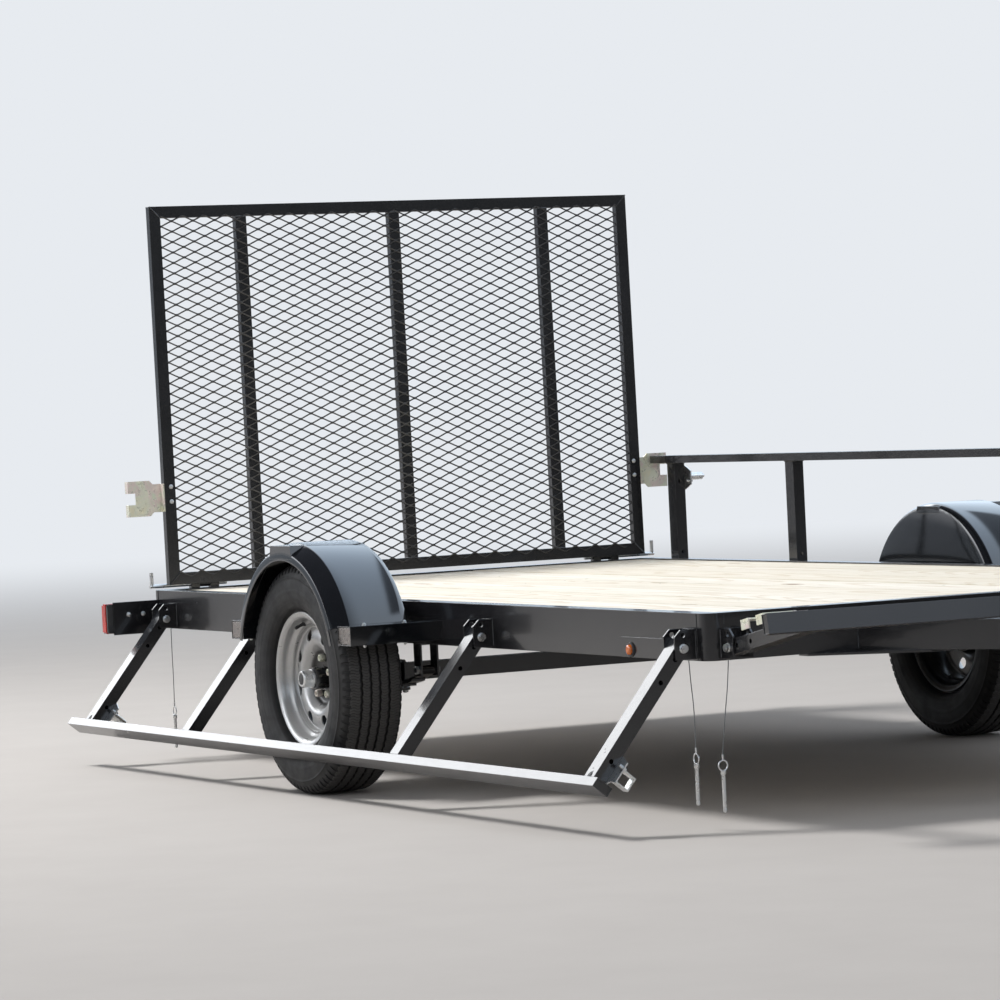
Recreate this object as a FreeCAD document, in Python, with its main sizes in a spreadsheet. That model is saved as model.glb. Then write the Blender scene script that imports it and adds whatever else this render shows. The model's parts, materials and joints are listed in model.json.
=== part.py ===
# Utility trailer with a six by twelve foot pine deck, fold-down side rails and a mesh gate.
# X runs forward, Y to the left and Z up, in millimetres. The origin is the centre of the
# coupler ball. Pieces that come in pairs are drawn on the left and mirrored to the right.
import FreeCAD, Part
import math
import os
import re
import Sketcher

V = FreeCAD.Vector

doc = FreeCAD.newDocument("UtilityTrailer")
dims = doc.addObject("Spreadsheet::Sheet", "Dims")

# Driving dimensions: name, value.
SIZES = (
    # frame
    ("ball_high", 457), ("deck_high", 545), ("ball_ahead", 1130),
    ("frame_long", 3658), ("frame_wide", 1829),
    ("channel_tall", 120.65), ("channel_flange", 50.8), ("channel_wall", 4.8), ("corner_round", 38),
    ("beam_count", 5), ("beam_wide", 38.1), ("beam_wall", 4),
    # deck
    ("board_count", 8), ("board_thick", 38), ("board_gap", 2.5), ("board_drop", 4),
    # tongue
    ("leg_tall", 76.2), ("leg_wide", 50.8), ("leg_wall", 3.2), ("leg_angle", 25), ("leg_apex", 115),
    ("apex_gap", 4), ("gusset_thick", 6), ("gusset_ahead", 200), ("gusset_aside", 150),
    ("gusset_lap", 45),
    # coupler
    ("ball_radius", 25.4), ("socket_gap", 0.6), ("nose_half", 36), ("nose_wall", 5), ("nose_drop", 22),
    ("plate_thick", 5), ("plate_back", 400), ("plate_start", 70),
    ("lever_wide", 26), ("lever_thick", 6), ("lever_tip", -150), ("lever_rise", 40),
    # jack
    ("jack_back", 325), ("jack_radius", 28.5), ("jack_bore", 25.5), ("jack_top", 330), ("jack_low", -105),
    ("jack_plate", 6), ("jack_plate_half", 50), ("jack_cap", 30),
    ("ram_radius", 24.6), ("ram_inside", 70), ("foot_radius", 62), ("foot_thick", 6), ("foot_hub", 30),
    ("crank_arm", 150), ("crank_thick", 8), ("grip_radius", 13), ("grip_tall", 95), ("crank_shaft", 9),
    # axle and springs
    ("axle_back", 1940), ("axle_wide", 50.8),
    ("spring_in", 33.5), ("spring_wide", 44.5), ("spring_half", 240), ("spring_rise", 34),
    ("leaf_thick", 6.35), ("leaf_lap", 0.4), ("eye_bore", 7.2), ("eye_bolt", 7),
    ("hanger_wide", 57), ("hanger_long", 45), ("hanger_wall", 5), ("hanger_below", 18),
    ("clamp_rod", 5.5), ("clamp_gap", 0.5), ("clamp_plate", 8),
    # wheels
    ("tyre_radius", 332), ("wheel_out", 172), ("tyre_bulge", 100), ("tread_half", 74),
    ("shoulder_half", 88), ("shoulder_drop", 16), ("crown_drop", 2), ("bead_half", 69.85),
    ("bead_radius", 178.5), ("bead_gap", 0.5), ("flange_radius", 195), ("rim_wall", 3.5),
    ("well_radius", 160), ("disc_wall", 4), ("disc_crest", 28), ("disc_bore", 33),
    ("hand_holes", 8), ("hand_hole", 17), ("hand_ring", 128),
    ("stud_count", 5), ("stud_ring", 57.15), ("stud_radius", 6.35), ("stud_hole", 7),
    ("nut_radius", 11), ("nut_tall", 18), ("hub_flange", 72), ("hub_flange_thick", 12),
    ("hub_barrel", 38), ("hub_inside", 70), ("snout_radius", 31.5), ("snout_long", 47),
    ("spindle_radius", 17.4), ("hub_bore", 17.9), ("cap_radius", 25), ("cap_long", 34), ("cap_lip", 27.5),
    # fenders
    ("fender_radius", 367), ("fender_wall", 3), ("fender_in", 60), ("crown_out", 253),
    ("bevel_out", 290), ("bevel_radius", 347), ("lip_out", 300), ("lip_radius", 333), ("lip_open", 317),
    ("fender_up", 26), ("crown_half_angle", 68.1), ("lip_half_angle", 75.6),
    ("boss_half", 70), ("boss_in", 286),
    ("foot_start", 333), ("foot_wide", 85), ("foot_tall", 55), ("foot_out", 283), ("foot_wall", 3),
    # fold-down rails
    ("pivot_out", 37), ("pivot_high", 1), ("post_wide", 50.8), ("post_thick", 38.1), ("post_wall", 2.5),
    ("post_end", 20), ("rail_reach", 420), ("bar_wide", 50.8), ("bar_thick", 25.4), ("bar_wall", 2.5),
    ("bar_front", 29), ("bar_rear", 36), ("rail_fold_angle", 141), ("hole_radius", 6.4),
    ("post1_back", 89), ("post2_back", 1229), ("post3_ahead", 959), ("post4_ahead", 169),
    ("lock_up", 34), ("post_hole_up", 105), ("latch_hole_up", 345),
    ("ear_gap", 0.8), ("ear_thick", 5), ("ear_out", 61), ("ear_up", 48), ("ear_down", 28),
    ("ear_chamfer", 18), ("bracket_back", 5),
    ("bolt_radius", 6), ("washer_radius", 12), ("washer_thick", 2), ("head_radius", 9.5), ("head_thick", 8),
    ("front_post_in", 70), ("front_bar_over", 90), ("front_fold_angle", 79.5),
    # rail latches
    ("loop_low", 351), ("loop_high", 391), ("loop_reach", 41), ("loop_strap", 4), ("loop_wide", 25),
    ("loop_ahead", 17), ("base_low", 315), ("base_high", 397), ("base_thick", 3.5), ("base_ahead", 42),
    ("base_taper", 18), ("stud_ahead", 22), ("stud_rod", 5), ("stud_in", 7), ("stud_out", 12),
    ("housing_radius", 12.5), ("housing_long", 46), ("housing_ahead", 28), ("housing_up", 360),
    ("plunger_radius", 6), ("plunger_long", 8),
    # gate
    ("hinge_in", 22), ("hinge_up", 12), ("hinge_tube", 10), ("hinge_bore", 6.8), ("hinge_rod", 6.35),
    ("gate_side", 38.5), ("gate_low", 2), ("gate_tall", 1226), ("gate_set", 12.6), ("gate_depth", 25.4),
    ("gate_tube", 38.1), ("gate_wall", 2), ("gate_lean_angle", 1), ("gate_bay_in", 322), ("drain_radius", 4),
    ("lug_in", 136), ("lug_long", 36), ("lug_gap", 1), ("side_lug_long", 30),
    ("pin_inner", 30), ("pin_over", 15.5), ("pin_bend", 45),
    ("mesh_cell_wide", 76.2), ("mesh_cell_tall", 33.9), ("mesh_strand", 3.2), ("mesh_layer", 1.6),
    ("mesh_gap", 0.3), ("mesh_lap", 20),
    # catch plates
    ("catch_thick", 4), ("catch_low", 228), ("catch_tall", 115), ("catch_neck", 30), ("catch_step", 12),
    ("catch_out", 117), ("notch_deep", 26), ("notch_tall", 37), ("catch_grip", 25), ("catch_tip", 21),
    ("front_catch_low", 300), ("front_catch_out", 133),
    # lamps
    ("lamp_ahead", 54), ("lamp_plate", 4), ("lamp_wide", 160), ("lamp_tall", 105), ("lamp_top", 30),
    ("lens_start", 90), ("lens_end", 178), ("lens_deep", 55), ("lens_inset", 5),
    ("marker_front", 217), ("marker_long", 232), ("marker_tall", 53), ("marker_top", 68),
    ("marker_plate", 3), ("marker_back", 398), ("marker_down", 101), ("marker_radius", 13),
    ("marker_thick", 12),
    # lock pins on their lanyards
    ("cable_radius", 1.3), ("ferrule_radius", 2.6), ("ferrule_long", 14), ("ring_radius", 13),
    ("ring_wire", 2), ("pin_radius", 5), ("pin_long", 95), ("pin_collar", 7), ("collar_long", 10),
)

for row, (name, number) in enumerate(SIZES, start=1):
    dims.set(f"A{row}", name)
    dims.set(f"B{row}", str(number))
    dims.setAlias(f"B{row}", name)
doc.recompute()

ALIAS = re.compile(r"\b(" + "|".join(name for name, number in SIZES) + r")\b")
LEFT, RIGHT = 1, -1
TURNS = {"x": (V(0, 1, 0), 90), "y": (V(1, 0, 0), -90), "z": (V(0, 0, 1), 0)}
SQUARE = 1 - math.sqrt(0.5)
FULL_TURN = 360
nodes = []

# Places that the sizes lead to.
HALF = "(frame_wide / 2)"
FRONT = "(-ball_ahead)"
REAR = "(-ball_ahead - frame_long)"
TOP = "(deck_high - ball_high)"
LOW = f"({TOP} - channel_tall)"
GROUND = "(-ball_high)"
AXLE_X = "(-ball_ahead - axle_back)"
AXLE_Z = "(tyre_radius - ball_high)"
BOARD_LOW = f"({TOP} - board_drop - board_thick)"
PIVOT_Y = f"({HALF} + pivot_out)"
FRONT_PIVOT_X = f"({FRONT} + pivot_out)"
HINGE_X = f"({REAR} + hinge_in)"
HINGE_Z = f"({TOP} + hinge_up)"
LEG_TOP = f"({LOW} + leg_tall)"
WHEEL_Y = f"({HALF} + wheel_out)"
FRONT_POST_Y = f"({HALF} - front_post_in)"
FRONT_BAR_HALF = f"({HALF} + front_bar_over)"
GATE_HALF = f"({HALF} - gate_side)"
GATE_BAY = f"({GATE_HALF} - gate_bay_in)"
LUG_AT = f"({GATE_HALF} - lug_in)"
PIN_OUTER = f"({HALF} + pin_over)"

# Side posts from the front of the frame: name, place along it.
SIDE_POSTS = (
    ("Post1", f"({FRONT} - post1_back)"), ("Post2", f"({FRONT} - post2_back)"),
    ("Post3", f"({REAR} + post3_ahead)"), ("Post4", f"({REAR} + post4_ahead)"),
)
FIRST_POST, LAST_POST = SIDE_POSTS[0], SIDE_POSTS[-1]


def bound(text):
    """Points each size's name at its cell."""
    return ALIAS.sub(r"Dims.\1", str(text))


def value(text):
    """The number that an expression of sizes comes to."""
    return float(dims.evalExpression(bound(text)))


def place(item, at, turn=None, axis=None):
    """Binds an item's place, and its turn about an axis."""
    if axis:
        item.Placement = FreeCAD.Placement(V(), FreeCAD.Rotation(V(*axis), value(turn)))
        item.setExpression("Placement.Rotation.Angle", bound(turn))
    for letter, text in zip("xyz", at):
        item.setExpression(f"Placement.Base.{letter}", bound(text))
    return item


def box(name, corner, spans):
    item = doc.addObject("Part::Box", name)
    for side, text in zip(("Length", "Width", "Height"), spans):
        item.setExpression(side, bound(text))
    return place(item, corner)


def rod(name, start, way, radius, reach):
    """A round bar from its start along x, y or z."""
    item = doc.addObject("Part::Cylinder", name)
    item.setExpression("Radius", bound(radius))
    item.setExpression("Height", bound(reach))
    item.Placement = FreeCAD.Placement(V(), FreeCAD.Rotation(*TURNS[way]))
    return place(item, start)


def fuse(name, *items):
    item = doc.addObject("Part::MultiFuse", name)
    item.Shapes = list(items)
    return item


def cut(name, base, *tools):
    item = doc.addObject("Part::Cut", name)
    item.Base = base
    item.Tool = tools[0] if len(tools) == 1 else fuse(name + "Tools", *tools)
    return item


def mirrored(name, source, normal=(0, 1, 0)):
    item = doc.addObject("Part::Mirroring", name)
    item.Source = source
    item.Normal = V(*normal)
    return item


def group(name, *items):
    item = doc.addObject("Part::Compound", name)
    item.Links = list(items)
    return item


def node(label, *items):
    """Names a sub-part, whose like pieces lie apart."""
    item = items[0] if len(items) == 1 else group(label + "_group", *items)
    item.Label = label
    nodes.append(item)
    return item


def both_sides(name, item):
    return item, mirrored(name + "Right", item)


def outline(body, role, path):
    """Draws a closed path on one of the body's planes.

    Each corner is (u, v) or (u, v, sag), where sag bows the edge that leaves the corner,
    outward when the path runs anticlockwise. Every corner and radius is bound to the sizes.
    """
    sketch = body.newObject("Sketcher::SketchObject", body.Name + "Outline")
    plane = [item for item in body.Origin.OriginFeatures if item.Role == role][0]
    sketch.AttachmentSupport = [(plane, "")]
    sketch.MapMode = "FlatFace"
    corners = [V(value(corner[0]), value(corner[1]), 0) for corner in path]
    starts = []
    for number, corner in enumerate(path):
        first = corners[number]
        last = corners[(number + 1) % len(path)]
        sag = value(corner[2]) if len(corner) > 2 else 0
        if not sag:
            sketch.addGeometry(Part.LineSegment(first, last), False)
            starts.append(1)
            continue
        along = (last - first).normalize()
        middle = (first + last) * 0.5 + V(along.y, -along.x, 0) * sag
        ends = (first, last) if sag > 0 else (last, first)
        sketch.addGeometry(Part.Arc(ends[0], middle, ends[1]), False)
        starts.append(1 if sag > 0 else 2)
    for number, corner in enumerate(path):
        following = (number + 1) % len(path)
        end = 3 - starts[number]
        sketch.addConstraint(Sketcher.Constraint("Coincident", number, end, following, starts[following]))
    for number, corner in enumerate(path):
        for kind, text, place_now in (
            ("DistanceX", corner[0], corners[number].x),
            ("DistanceY", corner[1], corners[number].y),
        ):
            where = sketch.addConstraint(
                Sketcher.Constraint(kind, -1, 1, number, starts[number], place_now)
            )
            sketch.setExpression(f"Constraints[{where}]", bound(text))
        if len(corner) > 2 and value(corner[2]):
            after = path[(number + 1) % len(path)]
            chord = f"((({after[0]}) - ({corner[0]}))^2 + (({after[1]}) - ({corner[1]}))^2)"
            bow = f"(({chord} / 4 + ({corner[2]})^2) / (2 * abs({corner[2]})))"
            where = sketch.addConstraint(Sketcher.Constraint("Radius", number, value(bow)))
            sketch.setExpression(f"Constraints[{where}]", bound(bow))
    return sketch


def prism(name, role, path, reach, at=("0", "0", "0"), middle=False):
    """A padded outline: from its plane along the plane's normal, or half to each side."""
    body = doc.addObject("PartDesign::Body", name)
    sketch = outline(body, role, path)
    pad = body.newObject("PartDesign::Pad", name + "Pad")
    pad.Profile = sketch
    pad.Midplane = middle
    pad.setExpression("Length", bound(reach))
    sketch.Visibility = False
    return place(body, at)


def ring(name, path, at, sweep="360"):
    """An outline on the YZ plane, turned about the Y axis, half of the sweep to each side."""
    body = doc.addObject("PartDesign::Body", name)
    sketch = outline(body, "YZ_Plane", path)
    turned = body.newObject("PartDesign::Revolution", name + "Turned")
    turned.Profile = sketch
    turned.ReferenceAxis = (sketch, ["H_Axis"])
    turned.Midplane = True
    turned.setExpression("Angle", bound(sweep))
    sketch.Visibility = False
    return place(body, at)


def channel_path(face, inward):
    """A channel's section: its web at the face, its flanges inward."""
    lip = f"{face} {inward} channel_flange"
    inner = f"{face} {inward} channel_wall"
    above = f"{TOP} - channel_wall"
    below = f"{LOW} + channel_wall"
    return [(face, LOW), (face, TOP), (lip, TOP), (lip, above),
            (inner, above), (inner, below), (lip, below), (lip, LOW)]


def side_channels():
    run = "frame_long - 2 * channel_flange"
    left = prism("SideChannel", "YZ_Plane", channel_path(HALF, "-"), run,
                 (f"{REAR} + channel_flange", "0", "0"))
    node("side_channels", *both_sides("SideChannel", left))


def end_channels():
    run = "frame_wide - 2 * channel_flange"
    front = prism("FrontChannel", "XZ_Plane", channel_path(FRONT, "-"), run, middle=True)
    rear = prism("RearChannel", "XZ_Plane", channel_path(REAR, "+"), run, middle=True)
    node("end_channels", front, rear)


def corner_path(start, reach, bend):
    """A square with one rounded corner, from its inner corner."""
    far = f"{start} + {reach}"
    return [(start, start), (far, start), (far, f"{far} - {bend}", f"{SQUARE} * {bend}"),
            (f"{far} - {bend}", far), (start, far)]


def corner_posts():
    """The rounded corners that carry the channels' section around."""
    edge = f"({HALF} - channel_flange)"
    # name, x of the inner corner, y of the inner corner, turn
    table = (
        ("FrontLeft", f"{FRONT} - channel_flange", edge, "0"),
        ("RearLeft", f"{REAR} + channel_flange", edge, "90"),
        ("RearRight", f"{REAR} + channel_flange", f"-{edge}", "180"),
        ("FrontRight", f"{FRONT} - channel_flange", f"-{edge}", "270"),
    )
    corners = []
    for name, x, y, turn in table:
        outer = prism(name + "Skin", "XY_Plane", corner_path("0", "channel_flange", "corner_round"),
                      "channel_tall")
        hollow = prism(name + "Hollow", "XY_Plane",
                       corner_path("-channel_wall", "channel_flange", "(corner_round - channel_wall)"),
                       "channel_tall - 2 * channel_wall", ("0", "0", "channel_wall"))
        corner = cut(name + "Corner", outer, hollow)
        corners.append(place(corner, (x, y, LOW), turn, (0, 0, 1)))
    node("corner_posts", *corners)


def crossmembers():
    low = f"({LOW} + channel_wall)"
    path = [("0", low), ("beam_wide", low), ("beam_wide", f"{low} + beam_wall"),
            ("beam_wall", f"{low} + beam_wall"), ("beam_wall", f"{BOARD_LOW} - beam_wall"),
            ("beam_wide", f"{BOARD_LOW} - beam_wall"), ("beam_wide", BOARD_LOW), ("0", BOARD_LOW)]
    beams = []
    for number in range(1, int(value("beam_count")) + 1):
        x = f"{FRONT} - frame_long * {number} / (beam_count + 1) - beam_wide / 2"
        beams.append(prism(f"Beam{number}", "XZ_Plane", path, "frame_wide - 2 * channel_wall",
                           (x, "0", "0"), middle=True))
    node("crossmembers", *beams)


def deck_boards():
    pitch = "((frame_wide - 2 * channel_flange) / board_count)"
    boards = []
    for number in range(int(value("board_count"))):
        corner = (f"{REAR} + channel_flange + board_gap / 2",
                  f"-{HALF} + channel_flange + {number} * {pitch} + board_gap / 2", BOARD_LOW)
        spans = ("frame_long - 2 * channel_flange - board_gap", f"{pitch} - board_gap", "board_thick")
        boards.append(box(f"Board{number}", corner, spans))
    node("deck_boards", *boards)


def tongue():
    """Two tubes that butt the front channel and meet behind the coupler."""
    run = "(ball_ahead - leg_apex + leg_wide) / cos(leg_angle)"
    skin = box("LegSkin", ("0", "0", "0"), (run, "leg_wide", "leg_tall"))
    inside = box("LegInside", ("-1", "leg_wall", "leg_wall"),
                 (f"{run} + 2", "leg_wide - 2 * leg_wall", "leg_tall - 2 * leg_wall"))
    tube = place(cut("LegTube", skin, inside), ("-leg_apex", "0", LOW), "180 - leg_angle", (0, 0, 1))
    behind = box("LegBehind", (f"{FRONT} - 4 * leg_wide", "0", f"{LOW} - leg_tall"),
                 ("4 * leg_wide", "frame_wide", "3 * leg_tall"))
    across = box("LegAcross", (FRONT, "apex_gap / 2 - frame_wide", f"{LOW} - leg_tall"),
                 ("2 * ball_ahead", "frame_wide", "3 * leg_tall"))
    leg = cut("Leg", tube, behind, across)
    node("tongue_leg_left", leg)
    node("tongue_leg_right", mirrored("LegRight", leg))

    edge = "((ball_ahead - leg_apex) * tan(leg_angle))"
    ahead = f"(({edge}) - gusset_ahead * tan(leg_angle))"
    inner = "(leg_wide / cos(leg_angle))"
    path = [(f"{FRONT} - gusset_lap", f"{edge} - {inner}"), (f"{FRONT} + gusset_ahead", f"{ahead} - {inner}"),
            (f"{FRONT} + gusset_ahead", ahead), (FRONT, f"{edge} + gusset_aside"),
            (f"{FRONT} - gusset_lap", f"{edge} + gusset_aside")]
    plate = prism("Gusset", "XY_Plane", path, "gusset_thick", ("0", "0", f"{LOW} - gusset_thick"))
    node("tongue_gussets", *both_sides("Gusset", plate))


def nose_path(half, back):
    """The coupler's plan: a half round ahead of the ball and straight sides behind it."""
    bow = f"{SQUARE} * {half}"
    return [(f"-{back}", f"-{half}"), ("0", f"-{half}", bow), (half, "0", bow), ("0", half),
            (f"-{back}", half)]


def coupler():
    """A pressed A-frame coupler: nose, ball socket, top plate and skirts outside the legs."""
    neck = "(leg_apex + (nose_half - nose_wall) / tan(leg_angle))"
    inner = "(nose_half - nose_wall)"
    nose = prism("Nose", "XY_Plane", nose_path("nose_half", neck), f"{LEG_TOP} + nose_drop",
                 ("0", "0", "-nose_drop"))
    well = box("NoseWell", (f"-{neck} - 1", f"-{inner}", "-nose_drop - 1"),
               (f"{neck} + 1 - plate_start", f"2 * {inner}", f"{LEG_TOP} + nose_drop + 1"))
    socket = doc.addObject("Part::Sphere", "Socket")
    socket.setExpression("Radius", bound("ball_radius + socket_gap"))
    entry = rod("SocketEntry", ("0", "0", "-2 * nose_drop"), "z", "ball_radius + 2 * socket_gap",
                "2 * nose_drop")
    shell = cut("NoseShell", nose, well, socket, entry)
    wide = "((plate_back - leg_apex) * tan(leg_angle) + nose_wall / cos(leg_angle))"
    ahead = "(nose_wall - plate_start)"
    path = [("-plate_back", f"-{wide}"), (f"-{neck}", "-nose_half"), (ahead, "-nose_half"),
            (ahead, "nose_half"), (f"-{neck}", "nose_half"), ("-plate_back", wide)]
    plate = prism("TopPlate", "XY_Plane", path, "plate_thick", ("0", "0", LEG_TOP))
    start = f"(({neck} - leg_apex) / cos(leg_angle))"
    run = f"((plate_back - leg_apex) / cos(leg_angle) - {start})"
    skirt = box("Skirt", (start, "-nose_wall", "0"), (run, "nose_wall", f"{LEG_TOP} + nose_drop"))
    skirt_left = place(group("SkirtLeft", skirt), ("-leg_apex", "0", "-nose_drop"),
                       "180 - leg_angle", (0, 0, 1))
    body = fuse("CouplerBody", shell, plate, skirt_left, mirrored("SkirtRight", skirt_left))
    way = rod("JackWay", ("-jack_back", "0", LEG_TOP), "z", "jack_radius + clamp_gap", "2 * plate_thick")
    node("coupler", cut("Coupler", body, way))

    seat = f"({LEG_TOP} + plate_thick)"
    lever = [("lever_tip", f"{seat} + lever_rise"), ("-plate_start - lever_thick", seat),
             ("-plate_start", seat), ("-plate_start", f"{seat} + 2 * lever_thick"),
             ("lever_tip", f"{seat} + lever_rise + lever_thick")]
    node("coupler_latch", prism("Lever", "XZ_Plane", lever, "lever_wide", middle=True))


def jack():
    """An A-frame screw jack: fixed tube, crank, and the ram that stands on the ground."""
    centre = "-jack_back"
    seat = f"({LEG_TOP} + plate_thick)"
    tube = rod("JackSkin", (centre, "0", "jack_low"), "z", "jack_radius", "jack_top - jack_low")
    plate = box("JackPlate", (f"{centre} - jack_plate_half", "-jack_plate_half", seat),
                ("2 * jack_plate_half", "2 * jack_plate_half", "jack_plate"))
    bore = rod("JackBore", (centre, "0", "jack_low - 1"), "z", "jack_bore",
               "jack_top - jack_low - jack_cap + 1")
    node("jack_tube", cut("JackTube", fuse("JackOuter", tube, plate), bore))

    arm_low = "(jack_top + crank_shaft)"
    shaft = rod("CrankShaft", (centre, "0", "jack_top"), "z", "crank_shaft", "crank_shaft + crank_thick")
    arm = box("CrankArm", (f"{centre} - crank_shaft", "-crank_shaft", arm_low),
              ("2 * crank_shaft", "crank_arm + 2 * crank_shaft", "crank_thick"))
    grip = rod("CrankGrip", (centre, "crank_arm", arm_low), "z", "grip_radius", "grip_tall")
    node("jack_crank", fuse("Crank", shaft, arm, grip))

    foot = rod("Foot", (centre, "0", GROUND), "z", "foot_radius", "foot_thick")
    cup = rod("FootCup", (centre, "0", GROUND), "z", "ram_radius + foot_thick", "foot_hub")
    ram = rod("RamTube", (centre, "0", GROUND), "z", "ram_radius", "jack_low + ram_inside + ball_high")
    node("jack_ram", fuse("Ram", foot, cup, ram))


def axle():
    """A square tube with a spindle at each end, clamped on top of the leaf springs."""
    end = f"({HALF} + wheel_out - hub_inside - clamp_gap)"
    skin = box("AxleSkin", (f"{AXLE_X} - axle_wide / 2", f"-{end}", f"{AXLE_Z} - axle_wide / 2"),
               ("axle_wide", f"2 * {end}", "axle_wide"))
    spindle = rod("Spindle", (AXLE_X, end, AXLE_Z), "y", "spindle_radius", "hub_inside + snout_long")
    node("axle", fuse("Axle", skin, *both_sides("Spindle", spindle)))


def springs():
    """Leaf packs under the axle, their hangers under the frame and the clamps that hold them."""
    y = f"({HALF} - spring_in)"
    bend = "((spring_half^2 + spring_rise^2) / (2 * spring_rise))"
    bow = f"({bend} - sqrt({bend}^2 - (axle_wide / 2)^2))"
    seat = f"({AXLE_Z} - axle_wide / 2 - {bow})"
    eye_z = f"({seat} + spring_rise + eye_bore)"
    leaves = []
    # leaf number from the axle down, its half length
    for number, half in ((0, "spring_half"), (1, "(0.75 * spring_half)"), (2, "(0.5 * spring_half)")):
        rise = f"({bend} - sqrt({bend}^2 - {half}^2))"
        top = f"({seat} - {number} * (leaf_thick - leaf_lap) + {rise})"
        under = f"({top} - leaf_thick)"
        path = [(f"-{half}", under, rise), (half, under), (half, top, f"-{rise}"), (f"-{half}", top)]
        leaves.append(prism(f"Leaf{number}", "XZ_Plane", path, "spring_wide", (AXLE_X, y, "0"), middle=True))
    eyes = []
    bores = []
    hangers = []
    for name, way in (("Front", "+"), ("Back", "-")):
        x = f"({AXLE_X} {way} spring_half)"
        y_in = f"({y} - spring_wide / 2)"
        eyes.append(rod(name + "Eye", (x, y_in, eye_z), "y", "eye_bore + leaf_thick", "spring_wide"))
        bores.append(rod(name + "EyeBore", (x, f"{y_in} - 1", eye_z), "y", "eye_bore", "spring_wide + 2"))
        hanger_in = f"({y} - hanger_wide / 2)"
        drop = f"({LOW} - {eye_z} + hanger_below)"
        block = box(name + "Cheeks", (f"{x} - hanger_long / 2", hanger_in, f"{LOW} - {drop}"),
                    ("hanger_long", "hanger_wide", drop))
        gap = box(name + "CheekGap", (f"{x} - hanger_long", f"{hanger_in} + hanger_wall",
                                      f"{LOW} - {drop} - 1"),
                  ("2 * hanger_long", "hanger_wide - 2 * hanger_wall", f"{drop} + 1 - hanger_wall"))
        bolt = rod(name + "EyeBolt", (x, f"{hanger_in} - 2 * hanger_wall", eye_z), "y", "eye_bolt",
                   "hanger_wide + 4 * hanger_wall")
        hangers += both_sides(name + "Hanger", fuse(name + "Hanger", cut(name + "Fork", block, gap), bolt))
    pack = cut("LeafPack", fuse("LeafStack", *leaves, *eyes), *bores)
    node("leaf_springs", *both_sides("LeafPack", pack))
    node("spring_hangers", *hangers)

    low = f"({seat} - 3 * leaf_thick + 2 * leaf_lap)"
    arm = "(axle_wide / 2 + clamp_rod + clamp_gap)"
    aside = "(spring_wide / 2 + clamp_rod + clamp_gap)"
    crest = f"({bow} + axle_wide + clamp_rod)"
    pieces = [box("ClampPlate", (f"{AXLE_X} - {arm} - 2 * clamp_rod", f"{y} - {aside} - 2 * clamp_rod",
                                 f"{low} - clamp_plate"),
                  (f"2 * {arm} + 4 * clamp_rod", f"2 * {aside} + 4 * clamp_rod", "clamp_plate"))]
    for across, side in ((-1, "In"), (1, "Out")):
        leg_y = f"({y} + {across} * {aside})"
        for along in (-1, 1):
            leg_x = f"({AXLE_X} + {along} * {arm})"
            pieces.append(rod(f"ClampLeg{side}{along + 1}", (leg_x, leg_y, f"{low} - 2 * clamp_plate"), "z",
                              "clamp_rod", f"{seat} + {crest} + 2 * clamp_plate - {low}"))
        pieces.append(rod(f"ClampTop{side}", (f"{AXLE_X} - {arm}", leg_y, f"{seat} + {crest}"), "x",
                          "clamp_rod", f"2 * {arm}"))
    node("axle_clamps", *both_sides("Clamp", fuse("Clamp", *pieces)))


def wheel_ring(name, item, count, start=FULL_TURN / 4):
    """Copies of a piece around the wheel's own axis."""
    copies = []
    for number in range(count):
        turn = start + FULL_TURN * number / count
        copies.append(place(group(f"{name}{number}", item), (AXLE_X, WHEEL_Y, AXLE_Z), str(turn), (0, 1, 0)))
    return copies


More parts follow.
